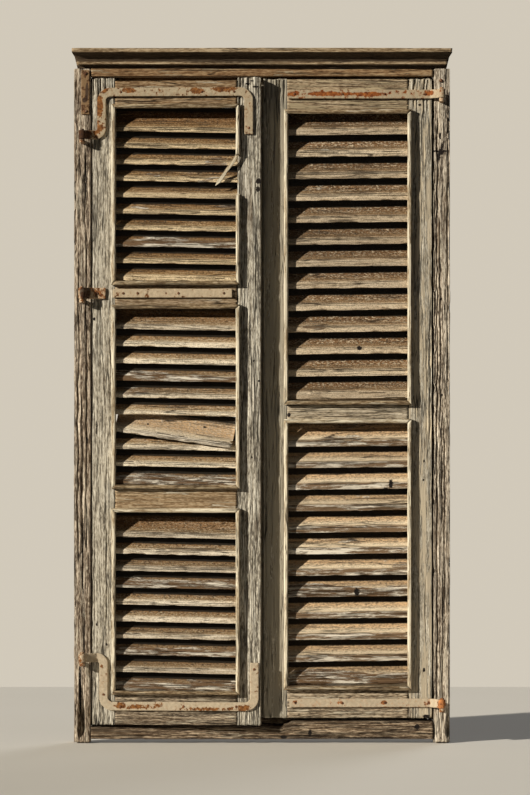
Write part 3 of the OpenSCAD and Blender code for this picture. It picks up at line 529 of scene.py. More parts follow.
for side, node in ((-1, "jamb_left"), (1, "jamb_right")):
    low, high = box_of(cad_points(node))
    width, depth, height = JAMB_FACE, high[1] - low[1], high[2] - low[2]
    outer_x = low[0] if side < 0 else high[0] - JAMB_FACE
    face = outline([(0, 0), (width, 0), (width, depth), (0, depth)], 0.0025,
                   (0.0016, 0.005, 0.009, 0.005))
    cracks = []
    for _ in range(11):
        start = RNG.uniform(0, height * 0.8)
        cracks.append((RNG.uniform(0.003, width - 0.004), start, start + RNG.uniform(0.15, 0.6),
                       RNG.uniform(0.0010, 0.0020), RNG.uniform(0.002, 0.006)))
    if side < 0:
        shape = rotted(0.010, 0.170, width * 0.24, width * 0.62, 0.021, 77)
    else:
        shape = rotted(0.012, 0.095, width * 0.74, width * 1.1, 0.018, 78)
        cracks.append((width * 0.27, 0.1, height * 0.93, 0.0016, 0.008))
    board = wood_shell(face, height, 0.006, ((outer_x, low[1], low[2]), Z, X, Y), wear=1.5,
                       cracks=cracks, ends=(0.004, 0.001), shape=shape, chips=0.003)
    lip_x = outer_x + JAMB_FACE - STOP_IN if side < 0 else outer_x - STOP_W
    lip_low = box_of(cad_points("sill_rail"))[1][2] - (SILL_WEAR if side < 0 else 0)
    lip_top = high[2] - HEAD_H
    lip = wood_shell(batten(STOP_W + STOP_IN, STOP_D), lip_top - lip_low, 0.012,
                     ((lip_x, -STOP_D, lip_low), Z, X, Y), wear=0.6)
    finish = wood_finish(node + "_wood", crack=0.7, contrast=1.25, paint=(0.66, 0.57, 0.43), cover=0.16,
                         stained=0.45, depth=0.0036, **JAMB_LOOKS[node])
    build(node + "_wood", [board, lip], finish, "frame", [node])


# The head and sill rails join the jambs. The sill is darker and worn down under the left leaf
# to a splintered step, and a thin stop lath behind its top closes the slit below the leaves.
head_finish = wood_finish("head_wood", (0.11, 0.055, 0.022), (0.26, 0.15, 0.070),
                          (0.42, 0.29, 0.16), crack=0.35, paint=(0.42, 0.335, 0.215),
                          cover=0.2, depth=0.0024)
sill_finish = wood_finish("sill_wood", (0.045, 0.026, 0.014), (0.185, 0.125, 0.074),
                          (0.52, 0.40, 0.27), crack=1.2, contrast=1.3, paint=(0.50, 0.41, 0.29),
                          cover=0.16, stained=0.5, depth=0.004,
                          # The two long thin marks paint the shadow below the left leaf's foot, and a dark
                          # line along the rail's lower edge.
                          marks=((284, 737, 4, 2), (310, 733, 2, 4), (417, 727, 3, 3),
                                 (150, 726, 30, 0.9), (370, 738, 40, 0.9)))
head_low = box_of(cad_points("frame_head"))[0]
inner_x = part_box("jamb_right")[1].x - JAMB_FACE
RAIL_D = 0.054
section = outline([(0, 0), (HEAD_H, 0), (HEAD_H, RAIL_D), (0, RAIL_D)], 0.002, (0.0018, 0.006))
head_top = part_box("jamb_left")[1].z


def front_only(flat):
    """Wear that dies out behind the first 16 mm of a board's depth."""
    return np.clip(1.25 - flat[:, 1] / 0.016, 0.05, 1)


bar = wood_shell(section, 2 * inner_x, 0.006, ((-inner_x, -RAIL_D, head_top - HEAD_H), X, Z, Y),
                 ends=(0, 0), chips=0.0012, hold=front_only)
stop = wood_shell(batten(STOP_W * 1.5, STOP_D), 2 * inner_x, 0.012,
                  ((-inner_x, -STOP_D, head_low[2]), X, Z, Y), wear=0.4)
build("frame_head_wood", [bar, stop], head_finish, "frame", ["frame_head"])

sill_low, sill_high = box_of(cad_points("sill_rail"))
sill_h = sill_high[2] - sill_low[2]
step_l = inner_x + 0.049


def worn_down(along, flat):
    ragged = 0.0022 * rough(np.column_stack([along, flat * 0]), (60, 1, 1), 91)
    fall = np.clip((step_l + 0.029 - along) / 0.026, 0, 1)
    spike = 0.006 * np.exp(-((along - step_l - 0.010) / 0.006) ** 2)
    moved = flat.copy()
    moved[:, 0] -= np.clip(flat[:, 0] / sill_h, 0, 1) ** 2 * np.clip(
        SILL_WEAR * fall + ragged * fall - spike + 0.0005, 0, SILL_WEAR)
    return along, moved


section = outline([(0, 0), (sill_h, 0), (sill_h, RAIL_D), (0, RAIL_D)], 0.003, (0.0018, 0.005))
rail = wood_shell(section, 2 * inner_x, 0.0045, ((-inner_x, -RAIL_D, sill_low[2]), X, Z, Y),
                  wear=1.5, ends=(0, 0), shape=worn_down, chips=0.003, hold=front_only,
                  cracks=[(0.012, 0.05, 0.45, 0.0015, 0.005), (0.027, 0.2, 0.8, 0.0014, 0.004)])
LATH_H = 0.034
LATH_T = 0.011
LATH_BELOW = 0.020
LATH_GAP = 0.0005
sill_stop = wood_shell(batten(LATH_H, LATH_T), 2 * (inner_x - STOP_W), 0.012,
                       ((STOP_W - inner_x, -LATH_T - LATH_GAP, sill_high[2] - LATH_BELOW), X, Z, Y),
                       wear=0.6)
build("sill_rail_wood", [rail, sill_stop], sill_finish, "frame", ["sill_rail"])


# The cornice is one long moulding of tan wood: two fillets with a cove between them over a
# drip, its ends cut back as returns. Its cove and its underside are painted near black as shade.
cornice_low, cornice_high = box_of(cad_points("cornice"))
half = cornice_high[0]
top_fillet, low_fillet, drip, cove = 0.012, 0.009, 0.009, 0.026
cornice_h = cornice_high[2] - cornice_low[2]
DRIP_D = 0.055
low_y = cornice_low[1] + cove
cove_low, cove_high = drip + low_fillet, cornice_h - top_fillet
profile = [(0, 0), (0, -DRIP_D), (drip, -DRIP_D), (drip, low_y), (cove_low, low_y)]
profile += [(cove_low + (cove_high - cove_low) * math.sin(math.radians(a)),
             low_y - cove * (1 - math.cos(math.radians(a)))) for a in (15, 30, 45, 60, 75, 90)]
profile += [(cornice_h, cornice_low[1]), (cornice_h, 0)]
profile = [p for i, p in enumerate(profile) if i == 0 or p != profile[i - 1]]
RETURN_IN = 0.013


def returned(along, flat):
    rise = np.clip((cove_high - flat[:, 0]) / (cove_high - cove_low), 0, 1)
    reach = RETURN_IN * rise
    length = 2 * half
    return reach + along / length * (length - 2 * reach), flat


section = outline(profile, 0.0012, (0.004, 0.004, 0.003) + (0.002,) * 8 + (0.003, 0.008))
moulding = wood_shell(section, 2 * half, 0.006, ((-half, 0, cornice_low[2]), X, Z, Y), wear=0.8,
                      shape=returned, chips=0.0014, warp=0.0)
cornice_board = Board("cornice_wood")
tree = cornice_board.tree
across = tree.node("ShaderNodeSeparateXYZ", 1, (), {0: cornice_board.inside})
base = cornice_board.bare((0.13, 0.080, 0.038), (0.33, 0.23, 0.13), (0.52, 0.40, 0.25))
# The cove and the drip's underside are painted near black: the shade below the fillets.
cove_shade = across.ramp(0.29, 0.34) * (1.0 - across.ramp(0.745, 0.775))
underside_shade = 1.0 - across.ramp(0.15, 0.18)
painted_shade = tree.maths("MAXIMUM", cove_shade, underside_shade) * (cornice_board.streak * 0.3 + 0.72)
base = tree.mixed(painted_shade, base, (0.030, 0.016, 0.008))
open_check = cornice_board.checks(0.4)
base = tree.mixed(open_check * 0.8, base, (0.03, 0.018, 0.01))
close_finish(tree, base, 0.85, cornice_board.streak - open_check, 0.0022)
build("cornice_wood", [moulding], cornice_board.finish, "frame", ["cornice"])


# The leaves' stiles and rails are mortised and tenoned boards. The sun and rain have
# silvered them, and thin cream paint is left in flakes along the grain. A thin lath behind
# the right meeting stile closes the slit between the leaves.
hinges = {joint["name"]: joint for joint in frame["joints"]}
AJAR = math.radians(-hinges["left_leaf_hinge"]["range_deg"][0])


def turned(axis, angle):
    c, s = math.cos(angle), math.sin(angle)
    if axis == "Z":
        return np.array([[c, -s, 0], [s, c, 0], [0, 0, 1.0]])
    return np.array([[c, 0, s], [0, 1.0, 0], [-s, 0, c]])


leaf_turn = {"left": turned("Z", -AJAR), "right": np.eye(3)}
GREY = ((0.110, 0.092, 0.068), (0.43, 0.375, 0.285), (0.72, 0.66, 0.54))
STILE_LOOKS = {
    "left_hinge_stile": dict(crack=0.8, paint=(0.66, 0.59, 0.46), cover=0.26,
                             marks=((94.5, 319, 1.4, 2), (97, 428, 0.7, 9), (97, 624, 1, 2),
                                    (107, 644, 1.2, 1.8), (99, 723, 0.8, 4), (103, 722, 0.7, 4),
                                    (114, 722, 0.7, 4), (87, 445, 1.5, 3))),
    "left_meeting_stile": dict(crack=1.3, contrast=1.3, paint=(0.72, 0.65, 0.53), cover=0.20,
                               marks=((258.5, 182, 2.8, 3.0, 1.5), (258, 190, 2.2, 3.2, 1.3),
                                      (235.4, 293.7, 1.3, 1.3), (254, 361, 1.2, 1.2),
                                      (259, 381, 1.3, 1.0), (262, 537, 1.8, 2.4), (252, 457, 1, 1),
                                      (248, 85, 3, 1), (256, 88, 4, 1), (252, 82, 2, 0.8))),
    "right_meeting_stile": dict(crack=0.3, contrast=0.7, paint=(0.42, 0.37, 0.28), cover=0.85),
    "right_hinge_stile": dict(crack=0.4, contrast=0.8, paint=(0.60, 0.50, 0.355), cover=0.62,
                              marks=((420, 105, 1.5, 1.5), (423.5, 480, 1.6, 1), (424, 670, 1.5, 2.4),
                                     (424, 461, 1.2, 1.6), (426.5, 716.4, 4, 2.2))),
}
RAIL_LOOKS = {
    "left_top_rail": dict(dark=(0.10, 0.055, 0.024), middle=(0.26, 0.160, 0.078), light=(0.42, 0.31, 0.19)),
    "left_upper_rail": dict(dark=(0.11, 0.068, 0.034), middle=(0.27, 0.185, 0.105), light=(0.46, 0.36, 0.24)),
    "left_lower_rail": dict(dark=(0.14, 0.085, 0.040), middle=(0.34, 0.230, 0.125), light=(0.50, 0.39, 0.25)),
    "left_bottom_rail": dict(dark=(0.045, 0.032, 0.020), middle=(0.235, 0.175, 0.115),
                             light=(0.54, 0.44, 0.31), crack=1.3, cover=0.24),
    "right_top_rail": dict(dark=(0.11, 0.070, 0.038), middle=(0.36, 0.260, 0.155), light=(0.56, 0.45, 0.30),
                           crack=0.4, paint=(0.46, 0.36, 0.22), cover=0.45),
    "right_middle_rail": dict(dark=(0.11, 0.082, 0.052), middle=(0.43, 0.345, 0.235),
                              light=(0.60, 0.51, 0.38), crack=0.6, cover=0.3,
                              marks=((289, 415, 2.0, 2.4, 1.2),)),
    "right_bottom_rail": dict(dark=(0.045, 0.032, 0.020), middle=(0.32, 0.24, 0.155),
                              light=(0.62, 0.51, 0.36), crack=1.1, cover=0.34),
}


def leaf_box(side, node):
    """A node's box as it lies in its own leaf, square to the leaf."""
    return box_of(cad_points(node) @ leaf_turn[side])


MEETING_LATH_W = 0.016
MEETING_LATH_T = 0.008
MEETING_LATH_OUT = 0.014
openings = {}
for side in ("left", "right"):
    turn = leaf_turn[side]
    stiles = {}
    for part in ("hinge_stile", "meeting_stile"):
        node = side + "_" + part
        low, high = leaf_box(side, node)
        stiles[part] = (low, high)
        width, depth, height = high - low
        face = outline([(0, 0), (width, 0), (width, depth), (0, depth)], 0.0022,
                       (0.0018, 0.0065, 0.004, 0.0065))
        cracks = []
        for _ in range(9):
            start = RNG.uniform(-0.1, height - 0.2)
            cracks.append((RNG.uniform(0.004, width - 0.004), start, start + RNG.uniform(0.12, 0.5),
                           RNG.uniform(0.0010, 0.0016), RNG.uniform(0.0012, 0.0035)))
        for _ in range(5):
            start = RNG.uniform(0, height - 0.1)
            cracks.append((RNG.uniform(0.006, width - 0.006), height - RNG.uniform(0.03, 0.16),
                           height + 0.05, 0.0014, RNG.uniform(0.003, 0.008)))
        board = wood_shell(face, height, 0.007, ((low[0], low[1], low[2]), Z, X, Y), cracks=cracks,
                           ends=(0.003, 0.005))
        finish = wood_finish(node + "_wood", *GREY, **STILE_LOOKS[node])
        shells = [board]
        if node == "right_meeting_stile":
            lath_y = high[1] - MEETING_LATH_T - LATH_GAP
            shells.append(wood_shell(batten(MEETING_LATH_W, MEETING_LATH_T), height, 0.012,
                                     ((low[0] - MEETING_LATH_OUT, lath_y, low[2]), Z, X, Y),
                                     wear=0.6))
        build(node + "_wood", shells, finish, side + "_leaf", [node], turn)
    inner = sorted([stiles["hinge_stile"], stiles["meeting_stile"]], key=lambda b: b[0][0])
    x0, x1 = inner[0][1][0], inner[1][0][0]
    names = (["bottom_rail", "lower_rail", "upper_rail", "top_rail"] if side == "left"
             else ["bottom_rail", "middle_rail", "top_rail"])
    spans = []
    for name in names:
        node = side + "_" + name
        low, high = leaf_box(side, node)
        spans.append((low[2], high[2]))
        depth, height = high[1] - low[1], high[2] - low[2]
        face = outline([(0, 0), (height, 0), (height, depth), (0, depth)], 0.0016,
                       (0.0020, 0.006, 0.005, 0.006))
        cracks = [(RNG.uniform(0.004, height - 0.004), RNG.uniform(-0.05, 0.2), RNG.uniform(0.2, 0.4),
                   0.0012, RNG.uniform(0.001, 0.003)) for _ in range(4)]
        board = wood_shell(face, x1 - x0, 0.006, ((x0, low[1] + 0.0008, low[2]), X, Z, Y),
                           cracks=cracks, ends=(0, 0), chips=0.0014)
        looks = dict(dict(crack=0.4, paint=(0.60, 0.51, 0.37), cover=0.14, stained=0.35), **RAIL_LOOKS[node])
        build(node + "_wood", [board], wood_finish(node + "_wood", **looks), side + "_leaf",
              [node], turn)
    openings[side] = (x0, x1, spans)


# The slats are thin boards set in inclined housings. Their slopes are tan or brown, their
# noses paler, and on some boards the old cream paint peels in flakes off dark bare wood.
# Raised back arrises, and a fin behind each panel's lowest nose, keep light out of the slits.
# The back of each upper slope is painted near black as the shade of the slat above.
def slat_finish(name, slope, nose, flaky=0.0, bare_nose=0.0, dirt=0.6, marks=(), shade_from=0.36,
                crusty=0.0):
    """flaky is the share of the boards that peel, and bare_nose how far every nose has peeled.
    How far back the painted shade of the slat above begins is the argument after marks, and crusty how much
    lumpy paint lies before it."""
    board = Board(name)
    tree = board.tree
    back = tree.node("ShaderNodeSeparateXYZ", 2, (), {0: board.inside})
    up = tree.node("ShaderNodeSeparateXYZ", 1, (), {0: board.inside})
    ragged = (board.patch - 0.5) * 0.06 + (board.streak - 0.5) * 0.05
    wood = tree.mixed((back + ragged * 2.0).ramp(0.02, 0.16), nose, slope)
    # The slope turns darker towards its back.
    deeper_tone = tuple(c * k for c, k in zip(slope, (0.85, 0.62, 0.42)))
    wood = tree.mixed((back + ragged * 2.0).ramp(0.20, 0.42) * 0.8, wood, deeper_tone)
    tone = board.streak * 0.4 + board.patch * 0.35 + board.fine * 0.25
    wood = tree.mixed(tone.ramp(0.48, 0.38) * 0.5, wood, tuple(c * 0.35 for c in slope))
    wood = tree.mixed(tone.ramp(0.53, 0.63) * 0.45, wood, nose)
    grit = board.field((330, 430, 430), 2.0, 0.6)
    wood = tree.mixed(grit.ramp(0.50, 0.38) * 0.55, wood, tuple(c * 0.40 for c in slope))
    wood = tree.mixed(grit.ramp(0.54, 0.66) * 0.35, wood, tuple(min(c * 1.25, 0.9) for c in nose))
    wood = tree.mixed(board.fine.ramp(0.46, 0.32) * 0.6, wood, tuple(c * 0.3 for c in slope))
    flake = board.field((10, 85, 85), 8.0, 0.78)
    peel = tree.mixed(flake.ramp(0.485, 0.50), (0.155, 0.090, 0.045), (0.40, 0.33, 0.25))
    peel = tree.mixed(flake.ramp(0.515, 0.525), peel, (0.90, 0.81, 0.66))
    board_peels = board.tint.ramp(1.0 - flaky - 0.01, 1.0 - flaky + 0.01)
    patchy = (board.patch + (0.22 - back) * 0.5).ramp(0.44, 0.48)
    on_nose = (1.0 - (back + ragged).ramp(0.02, 0.07)) * bare_nose
    peeling = tree.maths("MAXIMUM", board_peels * patchy, on_nose)
    peeling = tree.maths("MAXIMUM", peeling, board.patch.ramp(0.66, 0.67) * 0.8)
    base = tree.mixed(peeling, wood, peel)
    specks = board.field((150, 290, 290), 2.0, 0.6)
    grime = specks.ramp(0.57, 0.61) * back.ramp(0.12, 0.30) * dirt
    base = tree.mixed(grime, base, (0.040, 0.024, 0.012))
    lumps = board.field((150, 330, 330), 2.0, 0.5)
    crust = lumps.ramp(0.54, 0.58) * (back + ragged * 3.0).ramp(0.20, 0.30) * crusty
    base = tree.mixed(crust * 0.75, base, tuple(c * 1.05 for c in nose))
    open_check = board.checks(0.45)
    base = tree.mixed(open_check * 0.85, base, (0.03, 0.018, 0.01))
    base = tree.mixed((board.tint * 7.0 - 3.0).ramp(0.0, 1.0) * 0.25, base, (0.10, 0.06, 0.03))
    # The back of the upper slope is painted near black: the shade that the slat above casts there.
    upper = (up - back * 0.78).ramp(0.05, 0.12)
    painted_shade = (back + ragged + (grit - 0.5) * 0.12).ramp(shade_from + 0.02, shade_from + 0.08) * upper
    base = tree.mixed(painted_shade * 0.97, base, (0.008, 0.006, 0.003))
    height = (board.streak * 0.5 + flake.ramp(0.50, 0.55) * peeling * 0.5 + grime * 0.8 + crust * 2.0
              - open_check)
    base, height = board.marked(base, height, marks)
    close_finish(tree, base, 0.84, height, 0.0020)
    return board.finish


SLAT_LOOKS = {
    "left_slats_top": slat_finish("slat_tan", (0.245, 0.140, 0.054), (0.74, 0.575, 0.355), 0.02, 0.0, 0.8),
    "left_slats_middle": slat_finish("slat_pale", (0.34, 0.220, 0.108), (0.90, 0.76, 0.56), 0.02, 0.10, 0.7),
    "left_slats_bottom": slat_finish("slat_worn", (0.28, 0.178, 0.086), (0.84, 0.71, 0.53), 0.02, 0.25, 0.9),
    "right_slats_top": slat_finish("slat_brown", (0.235, 0.142, 0.066), (0.72, 0.57, 0.385), 0.05, 0.12, 0.7,
                                   ((359.5, 348, 3.0, 2.4, 1.2),), 0.52, 1.0),
    "right_slats_bottom": slat_finish("slat_peeling", (0.86, 0.70, 0.475), (0.42, 0.30, 0.185), 0.12, 0.85,
                                      0.5, ((357, 592, 3.2, 5.0), (391, 484, 2.4, 5.0), (386, 489, 4.5, 1.2)),
                                      0.50, 0.6),
}
slipped_finish = slat_finish("slat_cream", (0.84, 0.68, 0.46), (0.93, 0.81, 0.63), 0.0, 0.15, 0.25,
                             ((205, 427, 2.0, 1.0), (148, 424, 1.2, 1.0), (170, 421, 9, 0.7)), 0.70, 0.5)


def loose_parts(points, polygons):
    """The vertex numbers of each separate solid of a mesh."""
    _, label = np.unique(np.round(points, 6), axis=0, return_inverse=True)
    label = label.ravel()
    parent = np.arange(label.max() + 1)

    def root(i):
        while parent[i] != i:
            parent[i] = parent[parent[i]]
            i = parent[i]
        return i
    for face in polygons:
        first = root(label[face[0]])
        for v in face[1:]:
            parent[root(label[v])] = first
            first = root(first)
    roots = np.array([root(i) for i in label])
    return [np.flatnonzero(roots == r) for r in np.unique(roots)]


def slat_turn(points, side):
    """The turn of a board in its leaf: how far it leans out and how far its end has dropped."""
    centred = points @ leaf_turn[side]
    axis = np.linalg.svd(centred - centred.mean(axis=0), full_matrices=False)[2][0]
    axis *= np.sign(axis[0])
    lean, drop = math.atan2(-axis[1], axis[0]), math.asin(-axis[2])
    return leaf_turn[side] @ turned("Z", -lean) @ turned("Y", drop)


def slat_shape(points, turn):
    """The rise of a board's slope and the height of its nose."""
    local = points @ turn
    low, high = box_of(local)
    rise = local[local[:, 1] > high[1] - 1e-5][:, 2].min() - low[2]
    return rise, high[2] - low[2] - rise


BACK_LIFT = 0.005
TOP_LIFT = 0.024
SLIPPED_LIFT = 0.032
FIN_IN = 0.020
FIN_DOWN = 0.016
IN_LOWER_RAIL = 0.004
IN_UPPER_RAIL = 0.001


def slat_shell(points, turn, rise, v, wear, lift, foot=0.0, limits=(-1, 9)):
    """One slat, worn from the section that its solid has, but hardly behind its nose. Its back
    arris stands up by lift, and a fin behind its nose goes down by foot to meet the rail, but
    neither goes further than the two limits."""
    low, high = box_of(points @ turn)
    depth = high[1] - low[1]
    slope, nose, bend = rise / depth, 0.002, 0.7 * depth
    corners = [(0, 0), (0, v - nose), (nose, v + nose * slope), (bend, v + bend * slope),
               (depth, rise + v + lift), (depth, rise)]
    spacings = [0.0026, 0.002, 0.0038, 0.004, 0.005, 0.006]
    if foot:
        corners.append((FIN_IN, -foot))
        spacings.append(0.004)
    face = outline(corners, 0.0007, tuple(spacings))
    section = (face[0][:, ::-1].copy(), face[1], face[2])
    local = wood_shell(section, high[0] - low[0], 0.009, ((low[0], low[1], low[2]), X, Z, Y),
                       wear=wear, chips=0.0016, warp=0.0, ends=(0.001, 0.001),
                       hold=lambda flat: np.clip(1.35 - flat[:, 1] / (depth * 0.5), 0.04, 1))
    shell = list(local)
    shell[0] = np.clip(local[0], low - [0, 0, foot], high + [0, 0, lift]) @ turn.T
    shell[0][:, 2] = np.clip(shell[0][:, 2], *limits)
    return tuple(shell)


PEELED = {"left_slats_top": (2,), "left_slats_middle": (0, 5), "left_slats_bottom": (0, 2, 6),
          "right_slats_bottom": (0, 4)}
panel_rows = {"bottom": 0, "middle": 1, "top": -2}
for node, finish in SLAT_LOOKS.items():
    side = node.split("_")[0]
    rails = openings[side][2]
    row = panel_rows[node.split("_")[2]]
    limits = (rails[row][1] - IN_LOWER_RAIL, rails[row + 1][0] + IN_UPPER_RAIL)
    points = cad_points(node)
    parts = loose_parts(points, [p.vertices[:] for p in frame["nodes"][node].data.polygons])
    parts.sort(key=lambda part: points[part][:, 2].min())
    turn = slat_turn(points[parts[1]], side)
    rise, v = slat_shape(points[parts[1]], turn)
    shells = []
    for i, part in enumerate(parts):
        lift = TOP_LIFT if i == len(parts) - 1 else BACK_LIFT
        shells.append(slat_shell(points[part], turn, rise, v, RNG.uniform(0.6, 1.3), lift,
                                 FIN_DOWN if i == 0 else 0.0, limits))
        shells[-1][4][:] = 1.0 if i in PEELED.get(node, ()) else shells[-1][4] * 0.9
    build(node + "_wood", shells, finish, side + "_leaf", [node])
points = cad_points("left_slipped_slat")
turn = slat_turn(points, "left")
rise, v = slat_shape(points, turn)
build("left_slipped_slat_wood", [slat_shell(points, turn, rise, v, 1.0, SLIPPED_LIFT)],
      slipped_finish, "left_leaf", ["left_slipped_slat"])


# The beads are slim mitred strips planted around each opening. They keep the most cream
# paint of all. One has snapped, and a splinter of it hangs from the stub.
bead_finish = wood_finish("bead_paint", (0.24, 0.165, 0.09), (0.50, 0.40, 0.26), (0.70, 0.60, 0.43),
                          crack=0.3, paint=(0.86, 0.755, 0.56), cover=0.62, depth=0.0018)
worn_bead = wood_finish("bead_wood", (0.085, 0.052, 0.026), (0.25, 0.170, 0.088), (0.50, 0.40, 0.26),
                        crack=0.8, contrast=1.2, paint=(0.62, 0.53, 0.38), cover=0.16, depth=0.0018)
WORN = ("left_top_bead_head", "left_top_bead_sill", "left_middle_bead_head", "left_middle_bead_sill",
        "left_bottom_bead_sill", "right_top_bead_head", "right_top_bead_sill", "right_bottom_bead_sill")
panels = {"left": ("bottom", "middle", "top"), "right": ("bottom", "top")}


def bead_face(width, out):
    """A bead's section, its two front arrises chamfered by a quarter of its width."""
    c = width / 4
    return outline([(0, 0), (width, 0), (width, -out + c), (width - c, -out), (c, -out),
                    (0, -out + c)], 0.0012, (0.005, 0.003, 0.002, 0.0016, 0.002, 0.003))


for side, panel_names in panels.items():
    for panel in panel_names:
        for part in ("sill", "head", "hinge", "meeting"):
            node = f"{side}_{panel}_bead_{part}"
            if node not in frame["nodes"]:
                continue
            low, high = leaf_box(side, node)
            x0, x1, _ = openings[side]
            across_w = min(high[0] - low[0], high[2] - low[2])
            face = bead_face(across_w, high[1] - low[1])
            upright = part in ("hinge", "meeting")
            left_one = upright and low[0] < (x0 + x1) / 2
            if upright:
                origin = (low[0], high[1], low[2]) if left_one else (high[0], high[1], low[2])
                place = (origin, Z, X if left_one else -X, Y)
            else:
                origin = (low[0], high[1], low[2]) if part == "sill" else (low[0], high[1], high[2])
                place = (origin, X, Z if part == "sill" else -Z, Y)
            length = (high[2] - low[2]) if upright else (high[0] - low[0])
            shell = wood_shell(face, length, 0.008, place, mitre=1.0, wear=0.7, chips=0.0012,
                               warp=0.0, ends=(0, 0))
            build(node + "_wood", [shell], worn_bead if node in WORN else bead_finish,
                  side + "_leaf", [node], leaf_turn[side])


node = "left_top_bead_broken"
points = cad_points(node)
faces = [p.vertices[:] for p in frame["nodes"][node].data.polygons]
parts = sorted((box_of(points[part] @ leaf_turn["left"]) for part in loose_parts(points, faces)),
               key=lambda b: b[0][2])
(below_low, below_high), (above_low, above_high) = parts[0], parts[-1]
width, out = below_high[0] - below_low[0], below_high[1] - below_low[1]
face = bead_face(width, out)
LEAN = math.radians(35)
hang = (below_low[0] + width - above_low[0]) / math.sin(LEAN)
BREAK_DROP = 0.013
break_z = above_low[2] + hang * math.cos(LEAN) * 0.96 - BREAK_DROP


def half_mitred(upper, length):
    """A bead with a mitre at one end and a torn end at the other."""
    def shape(along, flat):
        torn = 0.010 * (0.5 + 0.5 * rough(np.column_stack([flat[:, 0] * 0, flat]), (1, 300, 300), 61))
        if upper:
            return torn + along / length * (length - flat[:, 0] - torn), flat
        return flat[:, 0] + along / length * (length - flat[:, 0] - torn), flat
    return shape


below_l = below_high[2] - below_low[2] - BREAK_DROP / 2
above_l = above_high[2] - break_z
shells = [wood_shell(face, below_l, 0.008, ((below_high[0], below_high[1], below_low[2]), Z, -X, Y),
                     shape=half_mitred(False, below_l), ends=(0, 0), warp=0.0),
          wood_shell(face, above_l, 0.008, ((below_high[0], below_high[1], break_z), Z, -X, Y),
                     shape=half_mitred(True, above_l), ends=(0, 0), warp=0.0)]
SPLINTER_W = 0.011
SPLINTER_T = 0.006
splinter_face = outline([(0, 0), (SPLINTER_W, 0), (SPLINTER_W, SPLINTER_T), (0, SPLINTER_T)], 0.001,
                        (0.0016,))


def pointed(along, flat):
    thin = np.clip((hang - along) / (hang * 0.16), 0.15, 1)
    centre = np.array([SPLINTER_W / 2, SPLINTER_T / 2])
    kink = 0.0018 * rough(np.column_stack([along, flat * 0]), (40, 1, 1), 67)
    moved = centre + (flat - centre) * thin[:, None]
    moved[:, 0] += kink
    return along, moved


down = -math.cos(LEAN) * Z - math.sin(LEAN) * X
side_way = math.cos(LEAN) * X - math.sin(LEAN) * Z
start = np.array([below_low[0] + width * 0.55, below_high[1] - out * 0.88, break_z + 0.006])
shells.append(wood_shell(splinter_face, hang * 0.98, 0.003,
                         (start - side_way * SPLINTER_W / 2, down, side_way, Y),
                         shape=pointed, wear=0.8, ends=(0, 0.002), chips=0.001, warp=0.0))
build("left_top_bead_broken_wood", shells, bead_finish, "left_leaf", [node],
      leaf_turn["left"])


# The straps, the plates and the pintles are forged iron. Cream paint is left on most of the
# straps, and rust has lifted it in orange and red-brown blooms, worst at the eyes.
def iron_finish(name, paint, cover, rust_dark, rust_light, blooms=(), black_rust_and_shade=(), depth=0.0014):
    """blooms are where rust has broken through. The patches after them are painted nearly black: deep rust,
    with painted shade on the hinges' eyes and arms.
    """
    made, tree = new_finish(name)
    place = tree.node("ShaderNodeTexCoord", "Object")

    def field(scale, detail, roughness=0.6):
        return tree.node("ShaderNodeTexNoise", 0, (), {"Vector": place, "Scale": scale,
                                                       "Detail": detail, "Roughness": roughness})
    scatter, grit, cloud = field(80.0, 8.0, 0.72), field(420.0, 4.0, 0.7), field(130.0, 5.0, 0.65)
    between = tuple((a + b) / 2 for a, b in zip(rust_dark, rust_light))
    rust = tree.node("ShaderNodeValToRGB", 0, {"stops": ((0.36, rust_dark), (0.50, between),
                                                         (0.64, rust_light))}, {0: cloud})
    rust = tree.mixed(grit.ramp(0.5, 0.7) * 0.4, rust, tuple(c * 0.4 for c in rust_dark))
    kept = scatter + (cloud - 0.5) * 0.5
    if blooms:
        kept = kept - (patches(tree, place, blooms) + 0.3) * 0.15
    line = 0.62 - cover * 0.25
    flaked = kept.ramp(line, line + 0.02)
    coat = tree.mixed(cloud.ramp(0.35, 0.7), tuple(c * 0.72 for c in paint), paint)
    coat = tree.mixed(grit.ramp(0.55, 0.75) * 0.35, coat, tuple(c * 0.5 for c in paint))
    stained = tuple(a * 0.45 + b * 0.55 for a, b in zip(rust_light, paint))
    coat = tree.mixed((1.0 - kept.ramp(line, line + 0.13)) * 0.8, coat, stained)
    base = tree.mixed(flaked, rust, coat)
    # Patches painted nearly black: deep rust, and painted shade on the eyes and arms of the hinges.
    if black_rust_and_shade:
        black = (patches(tree, place, black_rust_and_shade) + (cloud - 0.5) * 1.2).ramp(0.0, 0.35)
        base = tree.mixed(black * 0.85, base, (0.028, 0.014, 0.009))
    height = grit * 0.3 + cloud * 0.5 + flaked * 0.4
    close_finish(tree, base, 0.88 - flaked * 0.22, height, depth)
    return made


def iron_piece(node, finish, voxel, body, pit):
    """The solid's own form, remeshed with soft arrises and pitted inwards by rust."""
    source = frame["nodes"][node]
    mesh = source.data.copy()
    mesh.materials.clear()
    made = bpy.data.objects.new(node + "_iron", mesh)
    bpy.context.scene.collection.objects.link(made)
    weld = made.modifiers.new("weld", "WELD")
    weld.merge_threshold = 1e-5
    remesh = made.modifiers.new("remesh", "REMESH")
    remesh.mode = "VOXEL"
    remesh.voxel_size = voxel
    smooth = made.modifiers.new("smooth", "SMOOTH")
    smooth.factor, smooth.iterations = 0.5, 2
    graph = bpy.context.evaluated_depsgraph_get()
    done = bpy.data.meshes.new_from_object(made.evaluated_get(graph))
    made.modifiers.clear()
    made.data = done
    co, normals = vectors_of(done, "co"), vectors_of(done, "normal")
    depth = pit * np.clip(rough(co, (180, 180, 180), 5) + 0.35 * rough(co, (520, 520, 520), 6), 0, 1)
    co = co - normals * depth[:, None]
    done.vertices.foreach_set("co", co.astype(np.float32).ravel())
    done.polygons.foreach_set("use_smooth", np.ones(len(done.polygons), bool))
    done.materials.clear()
    done.materials.append(finish)
    done.update()
    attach(made, body)
    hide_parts(node)
    return made


